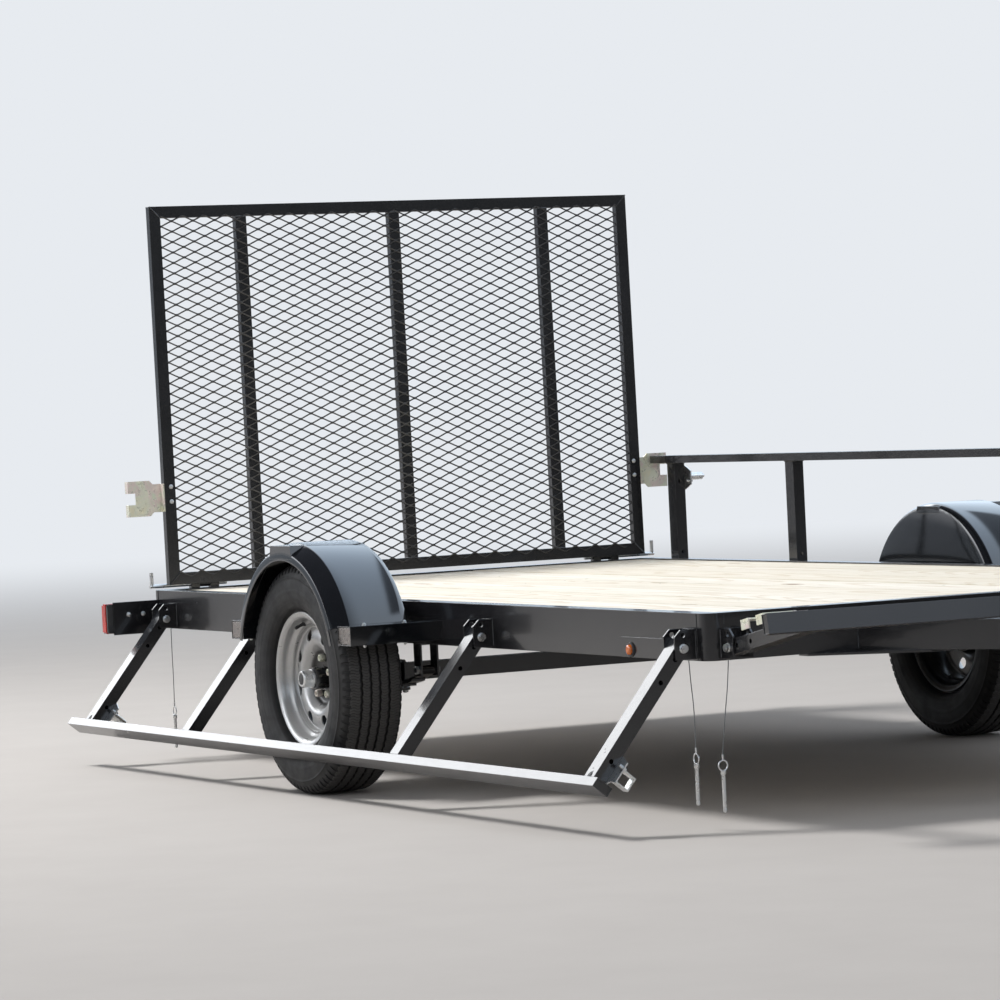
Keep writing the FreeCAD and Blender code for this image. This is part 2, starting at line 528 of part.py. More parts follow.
def wheels():
    """Tyre, steel rim, hub, grease cap and lug nuts; the sketches run outboard from the rim's centre."""
    at = (AXLE_X, WHEEL_Y, AXLE_Z)
    bead = "(bead_half - bead_gap)"
    bead_low = "(bead_radius + bead_gap)"
    shoulder = "(tyre_radius - crown_drop - shoulder_drop)"
    wall_half = "(bead_half + 14)"
    bow = f"(tyre_bulge - ({wall_half} + shoulder_half) / 2)"
    path = [(f"-{bead}", bead_low), (bead, bead_low), (bead, "flange_radius + 2"),
            (wall_half, "flange_radius + 11", bow), ("shoulder_half", shoulder, "2"),
            ("tread_half", "tyre_radius - crown_drop", "crown_drop"),
            ("-tread_half", "tyre_radius - crown_drop", "2"), ("-shoulder_half", shoulder, bow),
            (f"-{wall_half}", "flange_radius + 11"), (f"-{bead}", "flange_radius + 2")]
    tyre = ring("Tyre", path, at)

    edge = "bead_half"
    lip = "(bead_half + rim_wall)"
    barrel_path = [
        (edge, "flange_radius"), (edge, "bead_radius"), ("bead_half - 22", "bead_radius - 2"),
        ("bead_half - 32", "well_radius"), ("-bead_half + 32", "well_radius"),
        ("-bead_half + 22", "bead_radius - 2"), (f"-{edge}", "bead_radius"), (f"-{edge}", "flange_radius"),
        (f"-{lip}", "flange_radius"), (f"-{lip}", "bead_radius - rim_wall"),
        ("-bead_half + 20", "bead_radius - 2 - rim_wall"), ("-bead_half + 30", "well_radius - rim_wall"),
        ("bead_half - 30", "well_radius - rim_wall"), ("bead_half - 20", "bead_radius - 2 - rim_wall"),
        (lip, "bead_radius - rim_wall"), (lip, "flange_radius")]
    barrel = ring("Barrel", barrel_path, at)
    well = "(well_radius - rim_wall + 1)"
    disc_path = [
        ("0", "disc_bore"), ("disc_wall", "disc_bore"), ("disc_wall", "stud_ring + 17"),
        ("disc_crest - 6", "stud_ring + 34", "3"), ("disc_crest - 3", "hand_ring - 12"),
        ("disc_wall + 6", f"{well} - 6"), ("disc_wall + 22", f"{well} - 2"), ("disc_wall + 22", well),
        ("0", well), ("0", f"{well} - 8"), ("disc_crest - 3 - 1.4 * disc_wall", "hand_ring - 14"),
        ("disc_crest - 6 - 1.4 * disc_wall", "stud_ring + 36"), ("0", "stud_ring + 20")]
    disc = ring("Disc", disc_path, at)
    hand = rod("HandHole", ("0", "-disc_crest", "hand_ring"), "y", "hand_hole", "4 * disc_crest")
    stud_way = rod("StudHole", ("0", "-disc_crest", "stud_ring"), "y", "stud_hole", "2 * disc_crest")
    holes = wheel_ring("HandHole", hand, int(value("hand_holes")), 22.5)
    holes += wheel_ring("StudHole", stud_way, int(value("stud_count")))
    rim = cut("Rim", fuse("RimBlank", barrel, disc), *holes)

    hub_path = [
        ("-hub_inside", "hub_bore"), ("snout_long", "hub_bore"), ("snout_long", "snout_radius"),
        ("0", "snout_radius"), ("0", "hub_flange"), ("-hub_flange_thick", "hub_flange"),
        ("-hub_flange_thick - 6", "hub_barrel"), ("-hub_inside", "hub_barrel")]
    hub = ring("Hub", hub_path, at)

    end = "snout_long"
    cap_path = [(end, "0"), (f"{end} + cap_long - 3", "0"), (f"{end} + cap_long - 3", "cap_radius - 8"),
                (f"{end} + cap_long", "cap_radius - 8"), (f"{end} + cap_long", "cap_radius - 3"),
                (f"{end} + cap_long - 3", "cap_radius"), (f"{end} + 5", "cap_radius"),
                (f"{end} + 5", "cap_lip"), (end, "cap_lip")]
    cap = ring("GreaseCap", cap_path, at)

    face = "disc_wall"
    nut_body = doc.addObject("Part::Prism", "NutBody")
    nut_body.Polygon = 6
    nut_body.setExpression("Circumradius", bound("nut_radius"))
    nut_body.setExpression("Height", bound("nut_tall"))
    nut_body.Placement = FreeCAD.Placement(V(), FreeCAD.Rotation(*TURNS["y"]))
    place(nut_body, ("0", face, "stud_ring"))
    stud = rod("Stud", ("0", "0", "stud_ring"), "y", "stud_radius", "disc_wall + nut_tall + 4")
    nut = fuse("Nut", nut_body, stud)
    nuts = group("LugNuts", *wheel_ring("LugNut", nut, int(value("stud_count"))))

    for label, item in (("tyre", tyre), ("rim", rim), ("hub", hub), ("grease_cap", cap), ("lug_nuts", nuts)):
        node(label + "_left", item)
        node(label + "_right", mirrored(item.Name + "Right", item))


def fenders():
    """A rolled crown with a bevelled outer lip, a flat boss on top, and box feet on the frame."""
    centre = (AXLE_X, HALF, f"{AXLE_Z} + fender_up")
    skin = "fender_wall"
    crown_path = [
        ("fender_in", f"fender_radius - {skin}"), (f"crown_out - {skin} / 2", f"fender_radius - {skin}"),
        (f"bevel_out - {skin} / 2", f"bevel_radius - {skin}"), (f"lip_out - {skin}", "lip_radius - 1"),
        (f"lip_out - {skin}", "lip_open"), ("lip_out", "lip_open"), ("lip_out", "lip_radius"),
        ("bevel_out", "bevel_radius"), ("crown_out", "fender_radius"), ("fender_in", "fender_radius")]
    crown = ring("Crown", crown_path, centre, "2 * crown_half_angle")
    lip_path = [(f"lip_out - {skin}", "lip_open"), ("lip_out", "lip_open"), ("lip_out", "lip_radius"),
                (f"lip_out - {skin}", "lip_radius")]
    lip = ring("Lip", lip_path, centre, "2 * lip_half_angle")
    boss = box("FenderBoss", (f"{AXLE_X} - boss_half", f"{HALF} + boss_in",
                              f"{AXLE_Z} + fender_up + lip_radius - 8"),
               ("2 * boss_half", "lip_out - boss_in", "bevel_radius - lip_radius + 8"))
    under = rod("BossHollow", (AXLE_X, f"{HALF} + boss_in - 1", f"{AXLE_Z} + fender_up"), "y",
                "lip_radius - 3", f"lip_out - boss_in + 1 - {skin}")
    fender = fuse("Fender", crown, lip, cut("Boss", boss, under))
    node("fender_left", fender)
    node("fender_right", mirrored("FenderRight", fender))

    top = f"({AXLE_Z} + fender_up + fender_radius * cos(crown_half_angle))"
    feet = []
    ends = (("Front", f"{AXLE_X} + foot_start"), ("Back", f"{AXLE_X} - foot_start - foot_wide"))
    for name, corner_x in ends:
        skin_box = box(name + "FootSkin", (corner_x, HALF, f"{top} - foot_tall"),
                       ("foot_wide", "foot_out", "foot_tall"))
        room = box(name + "FootRoom", (f"{corner_x} + foot_wall", f"{HALF} + foot_wall",
                                       f"{top} - foot_tall + foot_wall"),
                   ("foot_wide - 2 * foot_wall", "foot_out", "foot_tall - 2 * foot_wall"))
        feet += both_sides(name + "Foot", cut(name + "Foot", skin_box, room, fender))
    node("fender_brackets", *feet)


def rail_bracket(name):
    """Two ears on a back plate, drawn with the mounting face at y = 0 and the pivot at z = 0."""
    span = "(post_wide / 2 + ear_gap + ear_thick)"
    ear = [("0", "-ear_down"), ("ear_out", "-ear_down"), ("ear_out", "ear_up - ear_chamfer"),
           ("ear_out - ear_chamfer", "ear_up"), ("0", "ear_up")]
    block = prism(name + "Ears", "YZ_Plane", ear, f"2 * {span}", middle=True)
    gap = box(name + "Gap", (f"-{span} + ear_thick", "bracket_back", "-2 * ear_down"),
              (f"2 * {span} - 2 * ear_thick", "2 * ear_out", "4 * ear_up"))
    holes = [rod(f"{name}Hole{up}", ("-2 * ear_out", "pivot_out", up), "x", "hole_radius", "4 * ear_out")
             for up in ("0", "lock_up")]
    return cut(name + "Bracket", block, gap, *holes)


def pivot_bolt(name):
    """The bolt through a bracket's ears, with a washer and a head at each end."""
    span = "(post_wide / 2 + ear_gap + ear_thick)"
    shank = rod(name + "Shank", (f"-{span} - washer_thick - head_thick", "pivot_out", "0"), "x",
                "bolt_radius", f"2 * ({span} + washer_thick + head_thick)")
    ends = []
    for side, way in (("Front", 1), ("Back", -1)):
        washer_x = span if way > 0 else f"-{span} - washer_thick"
        head_x = f"{span} + washer_thick" if way > 0 else f"-{span} - washer_thick - head_thick"
        ends.append(rod(name + side + "Washer", (washer_x, "pivot_out", "0"), "x", "washer_radius",
                        "washer_thick"))
        ends.append(rod(name + side + "Head", (head_x, "pivot_out", "0"), "x", "head_radius", "head_thick"))
    return fuse(name + "Bolt", shank, *ends)


def rail_brackets():
    sides = []
    bolts = []
    for name, x in SIDE_POSTS:
        at = (x, HALF, "pivot_high")
        sides += both_sides(name + "Bracket", place(rail_bracket(name), at))
        bolts += both_sides(name + "Bolt", place(pivot_bolt(name), at))
    node("side_rail_brackets", *sides)
    bracket = place(rail_bracket("Front"), (FRONT, FRONT_POST_Y, "pivot_high"), "-90", (0, 0, 1))
    node("front_rail_brackets", *both_sides("FrontBracket", bracket))
    bolt = place(pivot_bolt("Front"), (FRONT, FRONT_POST_Y, "pivot_high"), "-90", (0, 0, 1))
    node("pivot_bolts", *bolts, *both_sides("FrontBolt", bolt))


def rail_post(name, x, holes):
    """A tube post drawn upright with its pivot at the origin's height."""
    top = "(rail_reach - bar_thick / 2)"
    skin = box(name + "Skin", (f"{x} - post_wide / 2", "-post_thick / 2", "-post_end"),
               ("post_wide", "post_thick", f"{top} + post_end"))
    room = box(name + "Room", (f"{x} - post_wide / 2 + post_wall", "-post_thick / 2 + post_wall",
                               "-post_end - 1"),
               ("post_wide - 2 * post_wall", "post_thick - 2 * post_wall", f"{top} + post_end + 2"))
    ways = [rod(f"{name}Hole{number}", (f"{x} - post_wide", "0", up), "x", "hole_radius", "2 * post_wide")
            for number, up in enumerate(holes)]
    return cut(name, skin, room, *ways)


def rail_latch(name, x, looped):
    """A tapered plate on the outer face with a stud, and a strap loop or a plunger housing."""
    face = "(post_thick / 2)"
    front = f"({x} + post_wide / 2)"
    back = f"{x} - post_wide / 2"
    path = [(back, "base_low"), (front, "base_low"), (f"{front} + base_ahead", "base_low + base_taper"),
            (f"{front} + base_ahead", "base_high - base_taper"), (front, "base_high"), (back, "base_high")]
    plate = prism(name + "Plate", "XZ_Plane", path, "base_thick", ("0", f"{face} + base_thick / 2", "0"),
                  middle=True)
    stud = rod(name + "Stud", (f"{front} + stud_ahead", f"{face} - stud_in", "latch_hole_up"), "y",
               "stud_rod", "stud_in + base_thick + stud_out")
    if looped:
        loop_x = f"{front} + loop_ahead"
        block = box(name + "Block", (loop_x, face, "loop_low"),
                    ("loop_wide", "base_thick + loop_reach", "loop_high - loop_low"))
        window = box(name + "Window", (f"{loop_x} - 1", f"{face} + base_thick", "loop_low + loop_strap"),
                     ("loop_wide + 2", "loop_reach - loop_strap", "loop_high - loop_low - 2 * loop_strap"))
        return fuse(name, plate, stud, cut(name + "Loop", block, window))
    housing_x = f"{front} + housing_ahead"
    housing = rod(name + "Housing", (housing_x, face, "housing_up"), "y", "housing_radius",
                  "base_thick + housing_long")
    plunger = rod(name + "Plunger", (housing_x, face, "housing_up"), "y", "plunger_radius",
                  "base_thick + housing_long + plunger_long")
    return fuse(name, plate, stud, housing, plunger)


def side_rails():
    """Four posts and a flat bar; the left rail stands up and the right rail is folded down."""
    posts = []
    for name, x in SIDE_POSTS:
        ends = ["latch_hole_up"] if (name, x) in (FIRST_POST, LAST_POST) else []
        posts.append(rail_post("Side" + name, x, ["0", "lock_up", "post_hole_up"] + ends))
    low = "(rail_reach - bar_thick / 2)"
    run = "(frame_long - bar_front - bar_rear)"
    skin = box("SideBarSkin", (f"{REAR} + bar_rear", "-bar_wide / 2", low), (run, "bar_wide", "bar_thick"))
    room = box("SideBarRoom", (f"{REAR} + bar_rear - 1", "-bar_wide / 2 + bar_wall", f"{low} + bar_wall"),
               (f"{run} + 2", "bar_wide - 2 * bar_wall", "bar_thick - 2 * bar_wall"))
    bar = cut("SideBar", skin, room)
    latches = [rail_latch("FrontLatch", FIRST_POST[1], True), rail_latch("RearLatch", LAST_POST[1], False)]
    for label, items in (("rail_posts", posts), ("rail_bar", [bar]), ("rail_latches", latches)):
        upright = group(label.title().replace("_", "") + "Set", *items)
        left = place(group(upright.Name + "Left", upright), ("0", PIVOT_Y, "pivot_high"))
        node("left_" + label, left)
        folded = group(upright.Name + "Folded", mirrored(upright.Name + "Mirror", upright))
        place(folded, ("0", f"-{PIVOT_Y}", "pivot_high"), "rail_fold_angle", (1, 0, 0))
        node("right_" + label, folded)


def catch_path(inner, low, reach):
    """A catch plate's outline: neck, wider body and a notch open outboard."""
    high = f"({low} + catch_tall)"
    out = f"({inner} + {reach})"
    middle = f"({low} + catch_tall / 2)"
    return [(inner, f"{low} + catch_step"), (f"{inner} + catch_neck", f"{low} + catch_step"),
            (f"{inner} + catch_neck + catch_step", low), (out, low), (out, f"{middle} - notch_tall / 2"),
            (f"{out} - notch_deep", f"{middle} - notch_tall / 2"),
            (f"{out} - notch_deep", f"{middle} + notch_tall / 2"), (out, f"{middle} + notch_tall / 2"),
            (out, high), (f"{inner} + catch_neck + catch_step", high),
            (f"{inner} + catch_neck", f"{high} - catch_step"), (inner, f"{high} - catch_step")]


def catch_tips(name, x, out, low, high):
    """The bent ends of a catch plate's two prongs, from x, up to a height."""
    prong = "((catch_tall - notch_tall) / 2)"
    deep = "catch_tip + catch_thick"
    start = f"{out} - catch_thick"
    upper = f"({low} + catch_tall - {prong})"
    return [box(name + "TipLow", (x, start, low), (deep, "catch_thick", prong)),
            box(name + "TipHigh", (x, start, upper), (deep, "catch_thick", f"{high} - {upper}"))]


def front_rail():
    """The front rail, folded forward over the tongue; drawn upright and then turned."""
    low = "(rail_reach - bar_thick / 2)"
    post = rail_post("FrontPost", "0", ["0", "lock_up", "post_hole_up"])
    left = place(group("FrontPostLeft", place(group("FrontPostTurned", post), ("0", "0", "0"), "-90",
                                              (0, 0, 1))), ("0", FRONT_POST_Y, "0"))
    skin = box("FrontBarSkin", ("-bar_wide / 2", f"-{FRONT_BAR_HALF}", low),
               ("bar_wide", f"2 * {FRONT_BAR_HALF}", "bar_thick"))
    room = box("FrontBarRoom", ("-bar_wide / 2 + bar_wall", f"-{FRONT_BAR_HALF} - 1", f"{low} + bar_wall"),
               ("bar_wide - 2 * bar_wall", f"2 * {FRONT_BAR_HALF} + 2", "bar_thick - 2 * bar_wall"))
    bar = cut("FrontBar", skin, room)
    inner = f"({FRONT_POST_Y} + post_wide / 2)"
    back = "(-bar_wide / 2 - catch_thick)"
    blade = prism("FrontCatchBlade", "YZ_Plane", catch_path(inner, "front_catch_low", "front_catch_out"),
                  "catch_thick", (back, "0", "0"))
    tips = catch_tips("FrontCatch", back, f"({inner} + front_catch_out)", "front_catch_low", f"({low} - 1)")
    plate = fuse("FrontCatch", blade, *tips)
    table = (("front_rail_posts", both_sides("FrontPosts", left)), ("front_rail_bar", [bar]),
             ("front_rail_catch_plates", both_sides("FrontCatches", plate)))
    for label, items in table:
        turned = place(group(label.title().replace("_", "") + "Set", *items),
                       (FRONT_PIVOT_X, "0", "pivot_high"), "front_fold_angle", (0, 1, 0))
        node(label, turned)


def gate():
    """The tail gate: a tube frame, its mesh and catch plates, drawn upright at the hinge and leaned."""
    at = (HINGE_X, "0", HINGE_Z)
    lean = ("-gate_lean_angle", (0, 1, 0))
    skin = box("GateSkin", ("gate_set", f"-{GATE_HALF}", "gate_low"),
               ("gate_depth", f"2 * {GATE_HALF}", "gate_tall"))
    high = "(gate_low + gate_tall)"
    clear = "(gate_tall - 2 * gate_tube)"
    # bay windows: name, y from, y to
    edges = (("Bay1", f"-{GATE_HALF} + gate_tube", f"-{GATE_BAY} - gate_tube / 2"),
             ("Bay2", f"-{GATE_BAY} + gate_tube / 2", "-gate_tube / 2"),
             ("Bay3", "gate_tube / 2", f"{GATE_BAY} - gate_tube / 2"),
             ("Bay4", f"{GATE_BAY} + gate_tube / 2", f"{GATE_HALF} - gate_tube"))
    bays = [box(name, ("0", start, "gate_low + gate_tube"), ("4 * gate_depth", f"({end}) - ({start})", clear))
            for name, start, end in edges]
    inner_x = "(gate_set + gate_wall)"
    inner_deep = "(gate_depth - 2 * gate_wall)"
    inner_wide = "(gate_tube - 2 * gate_wall)"
    rooms = []
    stiles = (f"-{GATE_HALF}", f"-{GATE_BAY} - gate_tube / 2", "-gate_tube / 2",
              f"{GATE_BAY} - gate_tube / 2", f"{GATE_HALF} - gate_tube")
    for number, y in enumerate(stiles):
        rooms.append(box(f"GateStile{number}", (inner_x, f"{y} + gate_wall", "gate_low + gate_wall"),
                         (inner_deep, inner_wide, "gate_tall - 2 * gate_wall")))
    for number, z in enumerate(("gate_low + gate_wall", f"{high} - gate_tube + gate_wall")):
        rooms.append(box(f"GateRail{number}", (inner_x, f"-{GATE_HALF} + gate_wall", z),
                         (inner_deep, f"2 * {GATE_HALF} - 2 * gate_wall", inner_wide)))
    drains = [rod(f"Drain{number}", ("gate_set + gate_depth / 2", y, "0"), "z", "drain_radius",
                  "gate_tube / 2")
              for number, y in enumerate((f"-{GATE_BAY} / 2", f"{GATE_BAY} / 2"))]
    frame = cut("GateTubes", skin, *bays, *rooms, *drains)
    tube = rod("GateLugTube", ("0", f"{LUG_AT} - lug_long / 2", "0"), "y", "hinge_tube", "lug_long")
    arm = box("GateLugArm", ("0", f"{LUG_AT} - lug_long / 2", "gate_low"),
              ("gate_set", "lug_long", "gate_tube - gate_low"))
    bore = rod("GateLugBore", ("0", f"{LUG_AT} - lug_long", "0"), "y", "hinge_bore", "2 * lug_long")
    lug = cut("GateLug", fuse("GateLugBlank", tube, arm), bore)
    whole = fuse("GateWeldment", frame, *both_sides("GateLug", lug))
    node("gate_frame", place(group("GateFrame", whole), at, *lean))
    node("gate_mesh", place(gate_mesh(), at, *lean))

    arm_x = "(gate_set - catch_thick)"
    blade = prism("CatchBlade", "YZ_Plane", catch_path(GATE_HALF, "catch_low", "catch_out"), "catch_thick",
                  (arm_x, "0", "0"))
    tips = catch_tips("Catch", f"({arm_x} - catch_tip)", f"({GATE_HALF} + catch_out)", "catch_low",
                      "(catch_low + catch_tall)")
    grip = box("CatchGrip", (arm_x, GATE_HALF, "catch_low + catch_step"),
               ("catch_thick + catch_grip", "catch_thick", "catch_tall - 2 * catch_step"))
    catch = fuse("GateCatch", blade, grip, *tips)
    plates = group("GateCatches", *both_sides("GateCatch", catch))
    node("gate_catch_plates", place(plates, at, *lean))


def gate_mesh():
    """Expanded mesh as two layers of slanted strands on the front of the tubes."""
    half = value(f"{GATE_HALF} - mesh_lap")
    low = value("gate_low + mesh_lap")
    high = value("gate_low + gate_tall - mesh_lap")
    wide = value("mesh_cell_wide")
    tall = value("mesh_cell_tall")
    strand = value("mesh_strand")
    layer = value("mesh_layer")
    gap = value("mesh_gap")
    face = value("gate_set + gate_depth")
    slope = tall / wide
    window = Part.makeBox(4 * layer + gap, 2 * half, high - low, V(face, -half, low))
    count = int((high - low + 2 * half * slope) / tall) + 1
    layers = []
    for way, start in ((1, face), (-1, face + layer + gap)):
        strands = []
        for number in range(count):
            middle = low - half * slope + number * tall + tall / 2
            upright = strand * math.hypot(1, slope)
            corners = [V(start, -half, middle - way * half * slope - upright / 2),
                       V(start, half, middle + way * half * slope - upright / 2),
                       V(start, half, middle + way * half * slope + upright / 2),
                       V(start, -half, middle - way * half * slope + upright / 2)]
            face_shape = Part.Face(Part.makePolygon(corners + corners[:1]))
            piece = face_shape.extrude(V(layer, 0, 0)).common(window)
            if piece.Solids and piece.Volume > strand * layer * wide:
                strands += piece.Solids
        layers += strands
    item = doc.addObject("Part::Feature", "GateMesh")
    item.Shape = Part.makeCompound(layers)
    return item


def gate_hinges():
    """Lugs on the rear channel and the removable pins that the gate turns on."""
    lugs = []
    for number, way in enumerate((-1, 1)):
        near = f"({LUG_AT} + lug_long / 2 + lug_gap)" if way > 0 else \
            f"({LUG_AT} - lug_long / 2 - lug_gap - side_lug_long)"
        tube = rod(f"SideLugTube{number}", (HINGE_X, near, HINGE_Z), "y", "hinge_tube", "side_lug_long")
        base = box(f"SideLugBase{number}", (f"{HINGE_X} - hinge_tube", near, TOP),
                   ("2 * hinge_tube", "side_lug_long", "hinge_up"))
        bore = rod(f"SideLugBore{number}", (HINGE_X, f"{near} - 1", HINGE_Z), "y", "hinge_bore",
                   "side_lug_long + 2")
        lug = cut(f"SideLug{number}", fuse(f"SideLugBlank{number}", tube, base), bore)
        lugs += both_sides(f"SideLug{number}", lug)
    node("gate_hinge_lugs", *lugs)
    start = f"({LUG_AT} - lug_long / 2 - side_lug_long - pin_inner)"
    run = rod("HingePinRun", (HINGE_X, start, HINGE_Z), "y", "hinge_rod", f"{PIN_OUTER} - {start}")
    bend = rod("HingePinBend", (HINGE_X, f"{PIN_OUTER} - hinge_rod", HINGE_Z), "z", "hinge_rod", "pin_bend")
    node("gate_hinge_pins", *both_sides("HingePin", fuse("HingePin", run, bend)))


def lamps():
    """Tail lamps on plates outside the frame, and a side marker on each side."""
    face = f"({REAR} + lamp_ahead)"
    plate = box("LampPlate", (f"{face} - lamp_plate", HALF, f"{TOP} - lamp_top - lamp_tall"),
                ("lamp_plate", "lamp_wide", "lamp_tall"))
    node("tail_lamp_plates", *both_sides("LampPlate", plate))
    lens = box("TailLens", (f"{face} - lamp_plate - lens_deep", f"{HALF} + lens_start",
                            f"{TOP} - lamp_top - lamp_tall + lens_inset"),
               ("lens_deep", "lens_end - lens_start", "lamp_tall - 2 * lens_inset"))
    node("tail_lenses", *both_sides("TailLens", lens))
    marker = box("MarkerPlate", (f"{FRONT} - marker_front - marker_long", HALF,
                                 f"{TOP} - marker_top - marker_tall"),
                 ("marker_long", "marker_plate", "marker_tall"))
    node("marker_plates", *both_sides("MarkerPlate", marker))
    amber = rod("MarkerLens", (f"{FRONT} - marker_back", f"{HALF} + marker_plate", f"{TOP} - marker_down"),
                "y", "marker_radius", "marker_thick")
    node("marker_lenses", *both_sides("MarkerLens", amber))


# Lanyards: name, x of the bracket, then points as x ahead of it, y outboard of the right side, z.
LANYARDS = (
    ("lanyard_side", FIRST_POST[1],
     ((29, 22, -27), (35, 23, -78), (42, 22, -132), (44, 21, -190), (44, 22, -250))),
    ("lanyard_front", FRONT,
     ((31, -41, -27), (32, -36, -84), (30, -28, -145), (31, -19, -206), (30, -12, -266))),
    ("lanyard_rear", LAST_POST[1],
     ((29, 22, -27), (30, 23, -86), (28, 22, -147), (29, 22, -207), (29, 23, -268))),
)


def rounded_path(points):
    """Straight runs joined by tangent arcs as large as the runs allow."""
    edges = []
    at = points[0]
    for before, corner, after in zip(points, points[1:], points[2:]):
        into = (corner - before).normalize()
        out = (after - corner).normalize()
        turn = into.getAngle(out)
        leg = 0.45 * min((corner - before).Length, (after - corner).Length)
        radius = leg / math.tan(turn / 2)
        start = corner - into * leg
        finish = corner + out * leg
        bulge = (out - into).normalize()
        middle = corner + bulge * (radius / math.cos(turn / 2) - radius)
        edges.append(Part.LineSegment(at, start).toShape())
        edges.append(Part.Arc(start, middle, finish).toShape())
        at = finish
    edges.append(Part.LineSegment(at, points[-1]).toShape())
    return Part.Wire(edges)


def lanyards():
    """Steel cables with the rail lock pins hanging on them."""
    radius = value("cable_radius")
    pins = []
    for name, bracket_x, points in LANYARDS:
        route = [V(value(bracket_x) + x, -value(HALF) - out, z) for x, out, z in points]
        path = rounded_path(route)
        circle = Part.Wire(Part.makeCircle(radius, route[0], route[1] - route[0]))
        tube = path.makePipeShell([circle], True, True)
        item = doc.addObject("Part::Feature", name.title().replace("_", ""))
        item.Shape = tube
        node(name, item)
        end = route[-1]
        x, y = str(end.x), str(end.y)
        top = f"({end.z})"
        ferrule = rod(name + "Ferrule", (x, y, f"{top} - ferrule_long"), "z", "ferrule_radius",
                      "ferrule_long")
        hoop = doc.addObject("Part::Torus", name + "Hoop")
        hoop.setExpression("Radius1", bound("ring_radius"))
        hoop.setExpression("Radius2", bound("ring_wire"))
        hoop.Placement = FreeCAD.Placement(V(), FreeCAD.Rotation(V(1, 0, 0), 90))
        low = f"({top} - ferrule_long - 2 * ring_radius)"
        place(hoop, (x, y, f"{top} - ferrule_long - ring_radius"))
        collar = rod(name + "Collar", (x, y, f"{low} - collar_long"), "z", "pin_collar", "collar_long")
        shank = rod(name + "Shank", (x, y, f"{low} - collar_long - pin_long"), "z", "pin_radius", "pin_long")
        pins.append(fuse(name + "Pin", ferrule, hoop, collar, shank))
    node("lock_pins", *pins)


def build():
    side_channels()
    end_channels()
    corner_posts()
    crossmembers()
    deck_boards()
    tongue()
    coupler()
    jack()
    axle()
    springs()
    wheels()
    fenders()
    rail_brackets()
    side_rails()
    front_rail()
    gate()
    gate_hinges()
    lamps()
    lanyards()


def export():
    """Checks every object and writes each sub-part's file."""
    doc.recompute()
    for item in doc.Objects:
        faults = [state for state in item.State if state in ("Invalid", "Error")]
        if faults:
            raise RuntimeError(f"{item.Name} is {faults}")
    for item in nodes:
        if item.Shape.isNull() or not item.Shape.isValid():
            raise RuntimeError(f"{item.Label} has no valid shape")
    os.makedirs("parts", exist_ok=True)
    for item in nodes:
        item.Shape.exportStep(f"parts/{item.Label}.step")
        print(item.Label, len(item.Shape.Solids), "solids", round(item.Shape.Volume / 1000), "cm3")


build()
export()
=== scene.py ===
# Utility trailer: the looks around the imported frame. Lengths are in metres.
import json
import math
import random

import bmesh
import bpy
from mathutils import Matrix, Vector


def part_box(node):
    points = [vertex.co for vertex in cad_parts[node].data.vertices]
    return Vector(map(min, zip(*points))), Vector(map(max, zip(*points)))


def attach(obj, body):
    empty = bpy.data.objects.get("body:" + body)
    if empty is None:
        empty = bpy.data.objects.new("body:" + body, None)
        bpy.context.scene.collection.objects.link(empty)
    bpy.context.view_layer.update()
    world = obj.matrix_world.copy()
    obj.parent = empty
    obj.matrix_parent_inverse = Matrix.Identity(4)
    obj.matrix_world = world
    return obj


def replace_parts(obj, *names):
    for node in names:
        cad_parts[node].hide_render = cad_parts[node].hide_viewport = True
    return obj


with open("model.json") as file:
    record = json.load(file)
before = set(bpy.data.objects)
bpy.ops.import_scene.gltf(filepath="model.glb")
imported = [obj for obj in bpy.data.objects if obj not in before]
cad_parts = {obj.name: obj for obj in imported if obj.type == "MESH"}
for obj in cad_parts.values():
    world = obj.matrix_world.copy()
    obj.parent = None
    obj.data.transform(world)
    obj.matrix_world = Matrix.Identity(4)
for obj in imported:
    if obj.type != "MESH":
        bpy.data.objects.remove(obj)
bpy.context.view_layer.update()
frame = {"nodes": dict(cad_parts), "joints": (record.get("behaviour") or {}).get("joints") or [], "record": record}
random.seed(12)

NODES = frame["nodes"]
X, Y, Z = Vector((1, 0, 0)), Vector((0, 1, 0)), Vector((0, 0, 1))
TURN = 2 * math.pi
SIDES = (("left", 1), ("right", -1))

# The camera: its place, its lens and which way it looks.
CAMERA_AT = Vector((8.5976, -6.3690, 0.6451))
CAMERA_LENS = 160
CAMERA_YAW = math.radians(26.70)
CAMERA_DOWN = math.radians(1.27)
CAMERA_ROLL = math.radians(-2.76)

# Places on the frame.
FLOOR_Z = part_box("jack_ram")[0].z
FRONT_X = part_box("end_channels")[1].x
REAR_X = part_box("end_channels")[0].x
HALF_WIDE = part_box("side_channels")[1].y
FRAME_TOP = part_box("side_channels")[1].z
FRAME_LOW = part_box("side_channels")[0].z
WHEEL_LOW, WHEEL_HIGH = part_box("tyre_left")
WHEEL_X = (WHEEL_LOW.x + WHEEL_HIGH.x) / 2
WHEEL_Z = (WHEEL_LOW.z + WHEEL_HIGH.z) / 2
WHEEL_Y = (WHEEL_LOW.y + WHEEL_HIGH.y) / 2
TYRE_RADIUS = (WHEEL_HIGH.z - WHEEL_LOW.z) / 2
POSTS_X = (FRONT_X - 0.089, FRONT_X - 1.229, REAR_X + 0.959, REAR_X + 0.169)
JOINTS = {joint["name"]: joint for joint in frame["joints"]}
GATE_HINGE = Vector(JOINTS["gate_hinge"]["pos_m"])
GATE_LEAN = math.radians(-1)
GATE_TURN = (Matrix.Translation(GATE_HINGE) @ Matrix.Rotation(GATE_LEAN, 4, "Y")
             @ Matrix.Translation(-GATE_HINGE))

# Tread blocks round the tyre, and fine cuts in each.
PITCHES = 84
SIPES = 3


